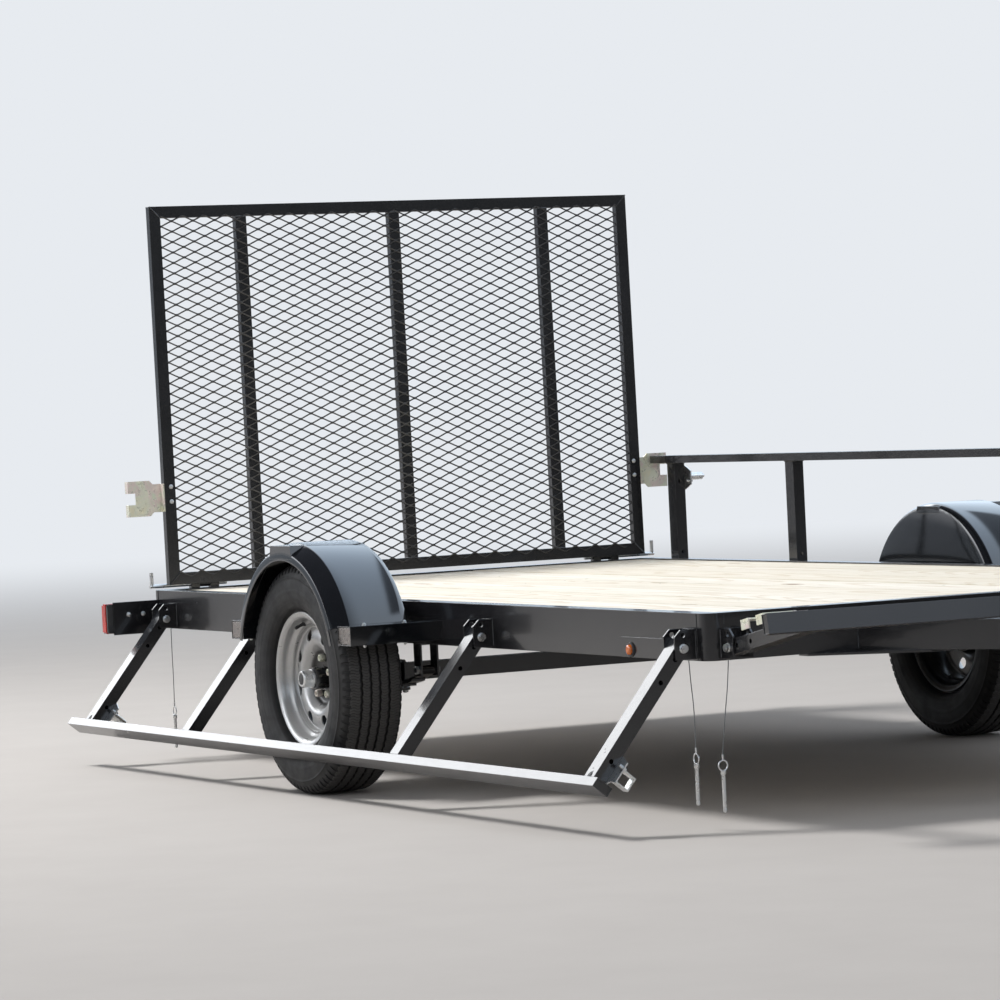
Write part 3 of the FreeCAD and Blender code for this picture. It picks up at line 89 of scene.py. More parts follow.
def camera():
    data = bpy.data.cameras.new("Camera")
    data.lens = CAMERA_LENS
    data.sensor_width = 36
    data.clip_end = 200
    level = math.cos(CAMERA_DOWN)
    ahead = Vector((-math.cos(CAMERA_YAW) * level, math.sin(CAMERA_YAW) * level, -math.sin(CAMERA_DOWN)))
    right = ahead.cross(Z).normalized()
    up = right.cross(ahead)
    turned_right = right * math.cos(CAMERA_ROLL) + up * math.sin(CAMERA_ROLL)
    turned_up = up * math.cos(CAMERA_ROLL) - right * math.sin(CAMERA_ROLL)
    item = bpy.data.objects.new("Camera", data)
    axes = Matrix((turned_right, turned_up, -ahead)).transposed()
    item.matrix_world = Matrix.Translation(CAMERA_AT) @ axes.to_4x4()
    bpy.context.scene.collection.objects.link(item)
    bpy.context.scene.camera = item


class Graph:
    """A node tree whose nodes are added by short calls; each call gives a socket back."""

    def __init__(self, tree):
        self.tree = tree

    def put(self, node, label, source):
        names = {socket.name.lower(): socket for socket in node.inputs if socket.enabled}
        socket = node.inputs[label] if isinstance(label, int) else names[label.lower()]
        if isinstance(source, bpy.types.NodeSocket):
            self.tree.links.new(source, socket)
        else:
            socket.default_value = source

    def add(self, kind, inputs, output=0, **settings):
        node = self.tree.nodes.new("ShaderNode" + kind)
        for name, setting in settings.items():
            setattr(node, name, setting)
        for label, source in inputs.items():
            self.put(node, label, source)
        return node.outputs[output]

    def ramp(self, source, *stops):
        """Stops are (place, grey or colour)."""
        output = self.add("ValToRGB", {"Fac": source})
        points = output.node.color_ramp.elements
        while len(points) < len(stops):
            points.new(0.5)
        for point, (where, tone) in zip(points, stops):
            point.position = where
            point.color = (tone, tone, tone, 1) if isinstance(tone, (int, float)) else (*tone, 1)
        return output

    def mix(self, share, first, second):
        node = self.tree.nodes.new("ShaderNodeMix")
        node.data_type = "RGBA"
        for index, source in ((0, share), (6, first), (7, second)):
            if isinstance(source, tuple):
                source = (*source, 1)
            self.put(node, index, source)
        return node.outputs[2]

    def maths(self, operation, *sources):
        return self.add("Math", dict(enumerate(sources)), operation=operation)

    def times(self, first, second):
        return self.maths("MULTIPLY", first, second)

    def plus(self, first, second):
        return self.maths("ADD", first, second)

    def less(self, first, second):
        return self.maths("SUBTRACT", first, second)

    def span(self, first, second):
        return self.maths("SQRT", self.plus(self.times(first, first), self.times(second, second)))

    def join(self, x, y, z):
        return self.add("CombineXYZ", {"X": x, "Y": y, "Z": z})

    def split(self, vector):
        return self.add("SeparateXYZ", {"Vector": vector}).node.outputs

    def smooth_step(self, source, start, end):
        return self.add("MapRange", {"Value": source, "From Min": start, "From Max": end},
                        interpolation_type="SMOOTHSTEP")


class Paint(Graph):
    """A material's tree, with a principled shader at its end."""

    def __init__(self, name, **settings):
        self.material = bpy.data.materials.new(name)
        self.material.use_nodes = True
        super().__init__(self.material.node_tree)
        self.shader = self.tree.nodes["Principled BSDF"]
        for label, number in settings.items():
            self.put(self.shader, label.replace("_", " "), number)

    def place(self):
        return self.add("TexCoord", {}, "Object")

    def noise(self, scale, detail, rough, at=None, distort=0):
        return self.add("TexNoise", {"Vector": at or self.place(), "Scale": scale, "Detail": detail,
                                     "Roughness": rough, "Distortion": distort})

    def cloud(self, low, high, *noise):
        """Noise between two levels; each level is (place, tone)."""
        return self.ramp(self.noise(*noise), low, high)

    def patchy(self, low, high, *noise):
        """A value that drifts between two levels."""
        return self.cloud((0.3, low), (0.75, high), *noise)

    def bump(self, height, strength, depth, normal=None):
        inputs = {"Height": height, "Strength": strength, "Distance": depth}
        if normal:
            inputs["Normal"] = normal
        return self.add("Bump", inputs)

    def rounded(self, radius):
        return self.add("Bevel", {"Radius": radius}, samples=4)

    def edges(self, radius):
        """High along the object's sharp edges, broken up like wear."""
        flat = self.add("NewGeometry", {}, "Normal")
        same = self.add("VectorMath", {0: self.rounded(radius), 1: flat}, "Value", operation="DOT_PRODUCT")
        broken = self.cloud((0.42, 0), (0.62, 1), 34, 4, 0.7)
        return self.times(self.ramp(same, (0.75, 1), (0.98, 0)), broken)

    def facing_up(self):
        upright = self.split(self.add("NewGeometry", {}, "Normal"))["Z"]
        return self.ramp(upright, (0.55, 0), (0.98, 1))

    def finish(self, colour=None, rough=None, normal=None):
        for label, source in (("Base Color", colour), ("Roughness", rough), ("Normal", normal)):
            if source:
                self.put(self.shader, label, source)
        return self.material


PAINTED_EDGE = 0.0025
PLATED_EDGE = 0.0012


def painted(name, tone, worn, dust, rough, peel, coat):
    """Sprayed paint over steel: a faint skin, dust on top faces and wear at the edges."""
    paint = Paint(name, coat_weight=coat, coat_roughness=0.08)
    paler = tuple(1.6 * part + 0.002 for part in tone)
    body = paint.mix(paint.patchy(0, 1, 5, 4, 0.6), tone, paler)
    dusty = paint.times(paint.facing_up(), paint.cloud((0.35, 0), (0.8, dust), 9, 6, 0.7))
    body = paint.mix(dusty, body, (0.30, 0.28, 0.25))
    body = paint.mix(paint.edges(PAINTED_EDGE), body, worn)
    gloss = paint.patchy(*rough, 14, 5, 0.65)
    skin = paint.bump(paint.noise(260, 2, 0.5), peel, 0.0006, paint.rounded(PAINTED_EDGE))
    return paint.finish(body, gloss, skin)


def plated(name, tones, rough, metallic, soiled):
    """Electroplated steel whose film shifts colour from place to place."""
    paint = Paint(name, metallic=metallic)
    drift = paint.noise(16, 3, 0.6, distort=0.6)
    stops = [(0.28 + 0.44 * number / (len(tones) - 1), tone) for number, tone in enumerate(tones)]
    film = paint.ramp(drift, *stops)
    stains = paint.cloud((0.55, 0), (0.85, soiled), 60, 5, 0.7)
    film = paint.mix(stains, film, (0.32, 0.31, 0.29))
    gloss = paint.patchy(*rough, 40, 4, 0.6)
    skin = paint.bump(paint.noise(420, 2, 0.5), 0.25, 0.0004, paint.rounded(PLATED_EDGE))
    return paint.finish(film, gloss, skin)


def wheel_silver():
    paint = Paint("wheel_silver", metallic=0.6, coat_weight=0.25, coat_roughness=0.15)
    flake = paint.add("TexVoronoi", {"Vector": paint.place(), "Scale": 900.0}, "Color")
    body = paint.mix(0.05, (0.42, 0.42, 0.415), flake)
    grime = paint.cloud((0.5, 0), (0.85, 0.4), 12, 6, 0.7)
    body = paint.mix(grime, body, (0.22, 0.20, 0.175))
    # painted shade: the back of the disc and the inside of the barrel are darkened where they lie in shade
    aside = paint.maths("ABSOLUTE", paint.split(paint.place())["Y"])
    front = paint.ramp(paint.less(aside, WHEEL_Y), (0.011, 0), (0.017, 1))
    body = paint.mix(front, (0.020, 0.019, 0.018), body)
    gloss = paint.patchy(0.26, 0.42, 30, 4, 0.6)
    skin = paint.bump(paint.noise(320, 2, 0.5), 0.2, 0.0005, paint.rounded(0.002))
    return paint.finish(body, gloss, skin)


def tyre_rubber():
    paint = Paint("tyre_rubber", specular_ior_level=0.35)
    dust = paint.cloud((0.4, 0), (0.85, 0.4), 10, 7, 0.7)
    body = paint.mix(dust, (0.008, 0.008, 0.0085), (0.045, 0.041, 0.036))
    gloss = paint.patchy(0.50, 0.72, 22, 4, 0.6)
    pores = paint.bump(paint.noise(500, 3, 0.6), 0.35, 0.0006)
    # fine sipes across the tread, counted round the wheel
    point = paint.split(paint.place())
    ahead = paint.less(point["X"], WHEEL_X)
    above = paint.less(point["Z"], WHEEL_Z)
    turn = paint.times(paint.maths("ARCTAN2", above, ahead), PITCHES * SIPES / TURN)
    wave = paint.times(paint.maths("SINE", paint.times(point["Y"], 230.0)), 0.28)
    sipe = paint.ramp(paint.maths("FRACT", paint.plus(turn, wave)), (0.0, 1), (0.10, 1), (0.16, 0))
    radius = paint.span(ahead, above)
    outside = paint.maths("GREATER_THAN", radius, TYRE_RADIUS - 0.0045)
    cuts = paint.times(sipe, outside)
    body = paint.mix(outside, body, (0.060, 0.058, 0.056))
    # painted shade: the sipes are darker than the rubber itself, standing for the shade inside the cuts
    body = paint.mix(cuts, body, (0.003, 0.003, 0.003))
    return paint.finish(body, gloss, paint.bump(paint.less(1.0, cuts), 0.8, 0.002, pores))


def black_rubber():
    paint = Paint("black_rubber")
    dust = paint.cloud((0.4, 0), (0.8, 1), 30, 5, 0.7)
    body = paint.mix(dust, (0.018, 0.018, 0.019), (0.05, 0.048, 0.045))
    gloss = paint.patchy(0.42, 0.65, 25, 3, 0.6)
    return paint.finish(body, gloss, paint.bump(paint.noise(700, 2, 0.5), 0.3, 0.0004))


def lens(name, tone, deep):
    """Moulded lamp plastic with a grid of small prisms under a clear face."""
    paint = Paint(name, ior=1.49, coat_weight=0.6, coat_roughness=0.05, transmission_weight=0.25)
    body = paint.mix(paint.cloud((0.3, 0), (0.7, 1), 24, 2, 0.5), tone, deep)
    cells = {"Vector": paint.place(), "Scale": 190.0, "Randomness": 0.0}
    prisms = paint.add("TexVoronoi", cells, "Distance", distance="CHEBYCHEV")
    gloss = paint.cloud((0.3, 0.12), (0.7, 0.22), 18, 3, 0.5)
    return paint.finish(body, gloss, paint.bump(prisms, 0.5, 0.0012))


def pine():
    """Sawn boards: growth rings cut along the grain, knots, pores and a few stains."""
    paint = Paint("pine", specular_ior_level=0.35)
    board = paint.add("Attribute", {}, "Fac", attribute_name="board")
    point = paint.split(paint.place())
    along, across, up = point["X"], point["Y"], point["Z"]
    # the log's middle wanders below each board
    shift = paint.times(board, 17.3)
    heart = paint.join(paint.maths("MULTIPLY_ADD", along, 0.28, shift), shift, board)
    drift = paint.split(paint.noise(1, 2, 0.5, heart).node.outputs["Color"])
    side = paint.maths("MULTIPLY_ADD", drift["X"], 0.34, -0.17)
    depth = paint.maths("MULTIPLY_ADD", drift["Y"], 0.30, -0.02)
    inside = paint.add("Attribute", {}, "Fac", attribute_name="inside")
    radius = paint.span(paint.less(inside, side), paint.plus(up, depth))
    grain = paint.join(paint.times(along, 2.2), paint.times(across, 30.0), paint.plus(up, shift))
    ripple = paint.noise(1, 5, 0.6, grain)
    knots = paint.join(paint.times(along, 1.5), paint.times(across, 5.0), shift)
    knot = paint.add("TexVoronoi", {"Vector": knots, "Scale": 1.0}, "Distance")
    pull = paint.ramp(knot, (0.0, 1), (0.22, 0))
    rings = paint.maths("MULTIPLY_ADD", ripple, 0.010, radius)
    rings = paint.maths("MULTIPLY_ADD", pull, 0.016, rings)
    wave = paint.maths("FRACT", paint.times(rings, 95.0))
    late = paint.ramp(wave, (0.0, 0.25), (0.55, 0.0), (0.86, 0.75), (0.97, 1.0), (1.0, 0.3))
    fibres = paint.join(paint.times(along, 7.0), paint.times(across, 420.0), paint.times(up, 420.0))
    fibre = paint.noise(1, 3, 0.6, fibres)
    pale = paint.mix(board, (0.86, 0.82, 0.74), (0.79, 0.74, 0.64))
    colour = paint.mix(paint.times(late, 0.55), pale, (0.52, 0.41, 0.27))
    colour = paint.mix(paint.ramp(fibre, (0.45, 0), (0.8, 0.35)), colour, (0.55, 0.46, 0.33))
    colour = paint.mix(paint.ramp(knot, (0.035, 1), (0.075, 0)), colour, (0.17, 0.085, 0.035))
    colour = paint.mix(paint.ramp(knot, (0.055, 0), (0.075, 0.75), (0.10, 0)), colour, (0.30, 0.17, 0.08))
    stains = paint.add("Mapping", {"Vector": paint.place(), "Scale": (0.5, 1.6, 1)})
    stain = paint.cloud((0.5, 0), (0.8, 0.28), 1.7, 5, 0.65, stains)
    colour = paint.mix(stain, colour, (0.50, 0.46, 0.36))
    gloss = paint.ramp(fibre, (0.3, 0.62), (0.75, 0.8))
    sawn = paint.plus(paint.times(late, 0.5), fibre)
    return paint.finish(colour, gloss, paint.bump(sawn, 0.4, 0.0012))


def cable_steel():
    """Twisted strands as a slanted ripple round the cable."""
    paint = Paint("cable_steel", metallic=1.0)
    wave = paint.add("TexWave", {"Vector": paint.place(), "Scale": 320.0, "Distortion": 0.0}, "Fac",
                     bands_direction="DIAGONAL")
    # painted shade: the grooves between the strands are darkened
    body = paint.mix(paint.ramp(wave, (0.1, 0), (0.6, 1)), (0.05, 0.05, 0.05), (0.26, 0.26, 0.255))
    gloss = paint.patchy(0.28, 0.45, 50, 3, 0.6)
    return paint.finish(body, gloss, paint.bump(wave, 0.6, 0.0004))


# Light metal standing for a painted reflection: the bright ground and sky mirrored in gloss black.
def painted_reflection_metal(name, tone, rough):
    paint = Paint(name, metallic=1.0)
    dull = tuple(0.7 * part for part in tone)
    reflection_patches = paint.cloud((0.35, 0), (0.8, 1), 45, 5, 0.7)
    body = paint.mix(reflection_patches, tone, dull)
    gloss = paint.patchy(*rough, 60, 3, 0.6)
    skin = paint.bump(paint.noise(500, 2, 0.5), 0.2, 0.0003, paint.rounded(0.001))
    return paint.finish(body, gloss, skin)


PAINTS = {
    "black_frame": painted("satin_black", (0.006, 0.006, 0.007), worn=(0.10, 0.10, 0.105), dust=0.015,
                           rough=(0.22, 0.28), peel=0.10, coat=0.55),
    "gloss_black": painted("gloss_black", (0.003, 0.0035, 0.0045), worn=(0.08, 0.08, 0.09), dust=0.004,
                           rough=(0.06, 0.09), peel=0.03, coat=0.8),
    "silver_wheel": wheel_silver(),
    "zinc": plated("bright_zinc", ((0.64, 0.66, 0.67), (0.72, 0.72, 0.71), (0.64, 0.67, 0.67)),
                   rough=(0.24, 0.36), metallic=1.0, soiled=0.12),
    "yellow_zinc": plated(
        "yellow_zinc", ((0.82, 0.78, 0.58), (0.78, 0.80, 0.66), (0.80, 0.68, 0.64), (0.70, 0.79, 0.62)),
        rough=(0.24, 0.36), metallic=0.4, soiled=0.08),
    "pine": pine(),
    "tyre_rubber": tyre_rubber(),
    "red_lens": lens("red_lens", (0.72, 0.045, 0.025), (0.50, 0.02, 0.012)),
    "amber_lens": lens("amber_lens", (0.88, 0.22, 0.02), (0.66, 0.13, 0.01)),
    "rubber": black_rubber(),
    "cable": cable_steel(),
    # painted reflection: light metal on the fender feet's ends for the ground and sky mirrored in their gloss
    # black
    "steel": painted_reflection_metal("foot_end_painted_reflection", (0.36, 0.33, 0.31), (0.22, 0.34)),
}

# The record's slot of each sub-part.
SLOTS = {part["node"]: part["material_slot"] for part in frame["record"]["subparts"]}


def finish_nodes():
    for name, slot in SLOTS.items():
        mesh = NODES[name].data
        mesh.materials.clear()
        mesh.materials.append(PAINTS["cable" if name.startswith("lanyard") else slot])


def new_piece(name, mesh, body, slot, sharp=32):
    mesh.materials.append(PAINTS[slot])
    for face in mesh.polygons:
        face.use_smooth = True
    mesh.set_sharp_from_angle(angle=math.radians(sharp))
    item = bpy.data.objects.new(name, mesh)
    bpy.context.scene.collection.objects.link(item)
    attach(item, body)
    return item


def grid_faces(rows, wide, closed=False):
    """Faces between rows of points, each row a ring; an open grid has its two ends capped."""
    faces = []
    for row in range(rows if closed else rows - 1):
        following = (row + 1) % rows
        for step in range(wide):
            after = (step + 1) % wide
            faces.append((row * wide + step, row * wide + after,
                          following * wide + after, following * wide + step))
    if not closed:
        faces.append(tuple(reversed(range(wide))))
        faces.append(tuple(range((rows - 1) * wide, rows * wide)))
    return faces


class Batch:
    """Small pieces of one finish on one body, gathered into a single mesh."""

    def __init__(self):
        self.points = []
        self.faces = []

    def add(self, points, faces):
        start = len(self.points)
        self.points += [tuple(point) for point in points]
        self.faces += [tuple(start + corner for corner in face) for face in faces]

    def lathe(self, at, axis, profile, steps=24, phase=0.0, closed=False):
        """Turns (distance along, radius) pairs about the axis, into a capped solid or a closed ring."""
        axis = Vector(axis).normalized()
        aside = axis.orthogonal().normalized()
        beyond = axis.cross(aside)
        points = []
        for along, radius in profile:
            for step in range(steps):
                angle = phase + TURN * step / steps
                across = aside * math.cos(angle) + beyond * math.sin(angle)
                points.append(Vector(at) + axis * along + across * radius)
        self.add(points, grid_faces(len(profile), steps, closed))

    def hex_head(self, at, axis, wide, tall, phase=0.0):
        self.lathe(at, axis, [(0, wide), (tall * 0.8, wide), (tall, wide * 0.86)], 6, phase)

    def washer(self, at, axis, radius, thick):
        self.lathe(at, axis, [(0, radius), (thick * 0.7, radius), (thick, radius * 0.95)], 24)

    def bolt(self, at, axis, thread, phase=0.0):
        """A washer, a hexagon and the end of the thread."""
        axis = Vector(axis).normalized()
        at = Vector(at)
        self.washer(at, axis, thread * 2.1, thread * 0.35)
        self.hex_head(at + axis * thread * 0.35, axis, thread * 1.75, thread * 1.3, phase)
        self.lathe(at + axis * thread * 1.6, axis,
                   [(0, thread), (thread * 0.5, thread), (thread * 0.7, thread * 0.8)], 16)

    def block(self, middle, half, turn=None, bevel=0.0):
        """A box with its upright and level edges eased, turned about its middle."""
        maker = bmesh.new()
        bmesh.ops.create_cube(maker, size=2)
        bmesh.ops.scale(maker, vec=half, verts=maker.verts)
        if bevel:
            bmesh.ops.bevel(maker, geom=maker.edges[:], offset=bevel, segments=2, affect="EDGES")
        if turn:
            bmesh.ops.transform(maker, matrix=turn, verts=maker.verts)
        bmesh.ops.translate(maker, vec=middle, verts=maker.verts)
        maker.verts.index_update()
        self.add([point.co[:] for point in maker.verts],
                 [[point.index for point in face.verts] for face in maker.faces])
        maker.free()

    def tube(self, path, radius, steps=10, closed=False, ripple=0.0, pitch=0.004):
        """A round bar along points; a ripple makes it a weld bead."""
        points = []
        count = len(path)
        travel = 0.0
        side = None
        for number, at in enumerate(path):
            before = path[number - 1] if number or closed else at
            after = path[(number + 1) % count] if number + 1 < count or closed else at
            along = (Vector(after) - Vector(before)).normalized()
            side = (side - along * side.dot(along) if side else along.orthogonal()).normalized()
            beyond = along.cross(side)
            travel += (Vector(at) - Vector(before)).length if number else 0
            size = radius * (1 + ripple * math.sin(TURN * travel / pitch))
            if not closed and ripple and number in (0, count - 1):
                size *= 0.4
            for step in range(steps):
                angle = TURN * step / steps
                points.append(Vector(at) + (side * math.cos(angle) + beyond * math.sin(angle)) * size)
        self.add(points, grid_faces(count, steps, closed))

    def weld(self, start, finish, radius=0.0028):
        start, finish = Vector(start), Vector(finish)
        count = max(4, int((finish - start).length / 0.0013))
        self.tube([start.lerp(finish, number / count) for number in range(count + 1)], radius, 6,
                  ripple=0.16, pitch=0.0042)

    def mesh(self, name, turn=None):
        mesh = bpy.data.meshes.new(name)
        points = [turn @ Vector(point) for point in self.points] if turn else self.points
        mesh.from_pydata(points, [], self.faces)
        maker = bmesh.new()
        maker.from_mesh(mesh)
        bmesh.ops.recalc_face_normals(maker, faces=maker.faces)
        maker.to_mesh(mesh)
        maker.free()
        return mesh

    def make(self, name, body, slot, sharp=32, turn=None):
        return new_piece(name, self.mesh(name, turn), body, slot, sharp)


# Lanyards: name, x of the bracket, length, and the way down as x ahead of it, y beyond the right side, z.
LANYARDS = (
    ("side", POSTS_X[0], 0.224,
     ((0.029, 0.022, -0.027), (0.035, 0.023, -0.078), (0.042, 0.022, -0.132), (0.044, 0.021, -0.190),
      (0.044, 0.022, -0.250))),
    ("front", FRONT_X, 0.241,
     ((0.031, -0.041, -0.027), (0.032, -0.036, -0.084), (0.030, -0.028, -0.145), (0.031, -0.019, -0.206),
      (0.030, -0.012, -0.266))),
    ("rear", POSTS_X[-1], 0.241,
     ((0.029, 0.022, -0.027), (0.030, 0.023, -0.086), (0.028, 0.022, -0.147), (0.029, 0.022, -0.207),
      (0.029, 0.023, -0.268))),
)
CABLE_RADIUS = 0.0013
FERRULE_LONG = 0.014
RING_RADIUS = 0.013
RING_WIRE = 0.002
PIN_RADIUS = 0.005
PIN_LONG = 0.095
COLLAR_LONG = 0.010


def lanyards():
    """Steel cables from the brackets' ears, each with the lock pin that hangs on it."""
    for name, bracket_x, length, points in LANYARDS:
        route = [Vector((bracket_x + x, -HALF_WIDE - out, z)) for x, out, z in points]
        curve = bpy.data.curves.new("cable_" + name, "CURVE")
        curve.dimensions = "3D"
        curve.bevel_depth = CABLE_RADIUS
        curve.bevel_resolution = 3
        curve.use_fill_caps = True
        curve.resolution_u = 12
        spline = curve.splines.new("NURBS")
        spline.points.add(len(route) - 1)
        for point, at in zip(spline.points, route):
            point.co = (*at, 1)
        spline.order_u = 3
        spline.use_endpoint_u = True
        curve.materials.append(PAINTS["cable"])
        cable = bpy.data.objects.new("cable_" + name, curve)
        bpy.context.scene.collection.objects.link(cable)
        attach(cable, "frame")
        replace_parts(cable, "lanyard_" + name)
        lock_pin(name, route[-1])
        cable_ring(name, route[-1])


def spoke(level, angle):
    return level * math.cos(angle) + Z * math.sin(angle)


def cable_ring(name, top):
    """The crimped ferrule at the cable's end and the ring through it."""
    batch = Batch()
    batch.lathe(top, -Z, [(-0.001, 0.0016), (0, 0.0024), (0.003, 0.0026), (0.005, 0.0022), (0.008, 0.0026),
                          (0.011, 0.0022), (FERRULE_LONG, 0.0025)], 16)
    middle = top - Z * (FERRULE_LONG + RING_RADIUS)
    across = Y if name == "front" else X
    circle = [middle + spoke(across, TURN * step / 40) * RING_RADIUS for step in range(40)]
    batch.tube(circle, RING_WIRE * 0.95, 10, closed=True)
    return batch.make("cable_ring_" + name, "frame", "zinc")


def lock_pin(name, top):
    """The pin that hangs in the ring, with a ball lock in its tip."""
    batch = Batch()
    head = top - Z * (FERRULE_LONG + 2 * RING_RADIUS)
    low = COLLAR_LONG + PIN_LONG
    collar = [(-0.001, 0.0045), (0.0005, 0.0068), (0.008, 0.0070), (COLLAR_LONG, 0.0064)]
    shank = ((COLLAR_LONG + 0.001, 1), (0.045, 1), (0.046, 0.86), (0.049, 0.86), (0.050, 1),
             (low - 0.014, 1), (low - 0.013, 0.84), (low - 0.010, 0.84), (low - 0.009, 1),
             (low - 0.003, 1), (low, 0.6))
    batch.lathe(head, -Z, collar + [(down, PIN_RADIUS * share) for down, share in shank], 24)
    for way in (-1, 1):
        batch.lathe(head - Z * (low - 0.018) + Y * way * 0.0038, Y * way,
                    [(0, 0.0018), (0.0009, 0.0015), (0.0014, 0.0007)], 12)
    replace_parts(batch.make("lock_pin_" + name, "frame", "zinc"), "lock_pins")


def smooth_line(corners, steps):
    """A Catmull-Rom line through the corners."""
    line = []
    for number in range(len(corners) - 1):
        before = Vector(corners[max(number - 1, 0)])
        first, last = Vector(corners[number]), Vector(corners[number + 1])
        after = Vector(corners[min(number + 2, len(corners) - 1)])
        for step in range(steps):
            t = step / steps
            line.append(0.5 * (2 * first + (last - before) * t
                               + (2 * before - 5 * first + 4 * last - after) * t * t
                               + (3 * first - before - 3 * last + after) * t ** 3))
    line.append(Vector(corners[-1]))
    return line


# Tyre: the outside of its section from the bead to the shoulder, as distance out and radius, and at the
# shoulder the share of the notch's depth.
TREAD_EDGE = 0.074
TREAD_CROWN = 0.0022
SIDEWALL = ((0.0690, 0.1792), (0.0690, 0.1985), (0.0830, 0.2065), (0.0955, 0.2300), (0.0990, 0.2600),
            (0.0975, 0.2850), (0.0915, 0.3060))
SHOULDER = ((0.0895, 0.3130, 0.5), (0.0878, 0.3175, 1.0), (0.0845, 0.3222, 1.0), (0.0800, 0.3262, 1.0),
            (TREAD_EDGE, TYRE_RADIUS - TREAD_CROWN, 1.0))
SIDE_RINGS = ((0.2110, 0.0022), (0.2210, 0.0012), (0.2560, 0.0010), (0.2930, 0.0018))
GROOVES = (0.014, 0.043)
GROOVE_HALF = 0.0044
GROOVE_WAVE = 0.0015
GROOVE_DEEP = 0.008
NOTCH_SHARE = 0.34
NOTCH_DEEP = 0.0018
NOTCH_SIDE = 0.0032
NOTCH_LEAN = 0.10


def tyre_section():
    """Columns from one bead to the other: (distance out, radius, share of the notch)."""
    wall = [(point[0], point[1], 0.0) for point in smooth_line(SIDEWALL, 6)]
    ringed = []
    for out, radius, share in wall:
        lift = sum(tall * math.exp(-((radius - where) / 0.0022) ** 2) for where, tall in SIDE_RINGS)
        ringed.append((out + lift, radius, share))
    outer = ringed + list(SHOULDER)
    outer += [(out, crown_radius(out), share) for out, share in ((0.066, 1.0), (0.0605, 0.6), (0.060, 0.0))]
    for middle in reversed(GROOVES):
        for out, sunk in ((middle + GROOVE_HALF, 0), (middle + GROOVE_HALF - 0.0009, 1),
                          (middle - GROOVE_HALF + 0.0009, 1), (middle - GROOVE_HALF, 0)):
            outer.append((out, crown_radius(out) - sunk * GROOVE_DEEP, 0.0))
    outer.append((0.0, crown_radius(0.0), 0.0))
    return outer + [(-out, radius, share) for out, radius, share in reversed(outer[:-1])]


def crown_radius(out):
    return TYRE_RADIUS - 0.0003 - TREAD_CROWN * (out / TREAD_EDGE) ** 2


def tyres():
    """Ribbed treads with notched shoulders and raised rings on the walls."""
    columns = tyre_section()
    angles = []
    for number in range(PITCHES):
        for share, sunk in ((0.0, 0), (0.06, 1), (NOTCH_SHARE, 1), (NOTCH_SHARE + 0.06, 0), (0.7, 0)):
            angles.append((TURN * (number + share) / PITCHES, sunk))
    for side, way in SIDES:
        points = []
        for angle, sunk in angles:
            for out, radius, share in columns:
                outward = 1 if out > 0 else -1
                beyond = abs(out) - TREAD_EDGE
                lean = NOTCH_LEAN * TURN / PITCHES * beyond / 0.02 * outward if share else 0
                reach = radius - sunk * share * NOTCH_DEEP
                flat = out - sunk * (share > 0.4) * (beyond > 0) * NOTCH_SIDE * outward
                if 0 < abs(out) < 0.055:
                    flat += GROOVE_WAVE * math.sin(angle * PITCHES)
                points.append((WHEEL_X + reach * math.cos(angle + lean), way * (WHEEL_Y + flat),
                               WHEEL_Z + reach * math.sin(angle + lean)))
        batch = Batch()
        batch.add(points, grid_faces(len(angles), len(columns), closed=True))
        tyre = batch.make("treaded_tyre_" + side, "wheel_" + side, "tyre_rubber", 40)
        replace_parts(tyre, "tyre_" + side)


BOARD_COUNT = 8
BOARD_GAP = 0.0045
BOARD_EDGE = 0.003


def deck():
    """Sawn boards with eased edges, each set a hair apart from its neighbours."""
    low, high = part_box("deck_boards")
    pitch = (high.y - low.y + BOARD_GAP) / BOARD_COUNT
    maker = bmesh.new()
    board_layer = maker.verts.layers.float.new("board")
    inside_layer = maker.verts.layers.float.new("inside")
    for number in range(BOARD_COUNT):
        start = low.y + number * pitch + random.uniform(0, 0.0006)
        finish = low.y + (number + 1) * pitch - BOARD_GAP - random.uniform(0, 0.0008)
        top = high.z - random.uniform(0, 0.0012)
        front = high.x - random.uniform(0, 0.004)
        made = bmesh.ops.create_cube(maker, size=1)["verts"]
        ends = Vector((low.x, start, low.z)), Vector((front, finish, top))
        bmesh.ops.scale(maker, vec=ends[1] - ends[0], verts=made)
        bmesh.ops.translate(maker, vec=(ends[0] + ends[1]) / 2, verts=made)
        edges = list({edge for point in made for edge in point.link_edges})
        bmesh.ops.bevel(maker, geom=edges, offset=BOARD_EDGE, segments=3, affect="EDGES")
        tint = random.random()
        for point in maker.verts:
            if start - 0.001 < point.co.y < finish + 0.001:
                point[board_layer] = tint
                point[inside_layer] = point.co.y - (start + finish) / 2
    mesh = bpy.data.meshes.new("deck_planks")
    maker.to_mesh(mesh)
    maker.free()
    planks = new_piece("deck_planks", mesh, "frame", "pine", 40)
    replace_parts(planks, "deck_boards")


# Expanded mesh: the diamond's width and height, and the strand's own width and thickness.
CELL_WIDE = 0.0762
CELL_TALL = 0.0339
STRAND_WIDE = 0.0050
STRAND_THICK = 0.0021
STRAND_LEAN = math.radians(24)
KNUCKLE = 0.10
# Along a strand: share of its run, climb, and twist.
STRAND = ((0.0, -1.0, 0.0), (KNUCKLE, -1.0, 0.0), (0.5, 0.0, 1.0), (1 - KNUCKLE, 1.0, 0.0), (1.0, 1.0, 0.0))


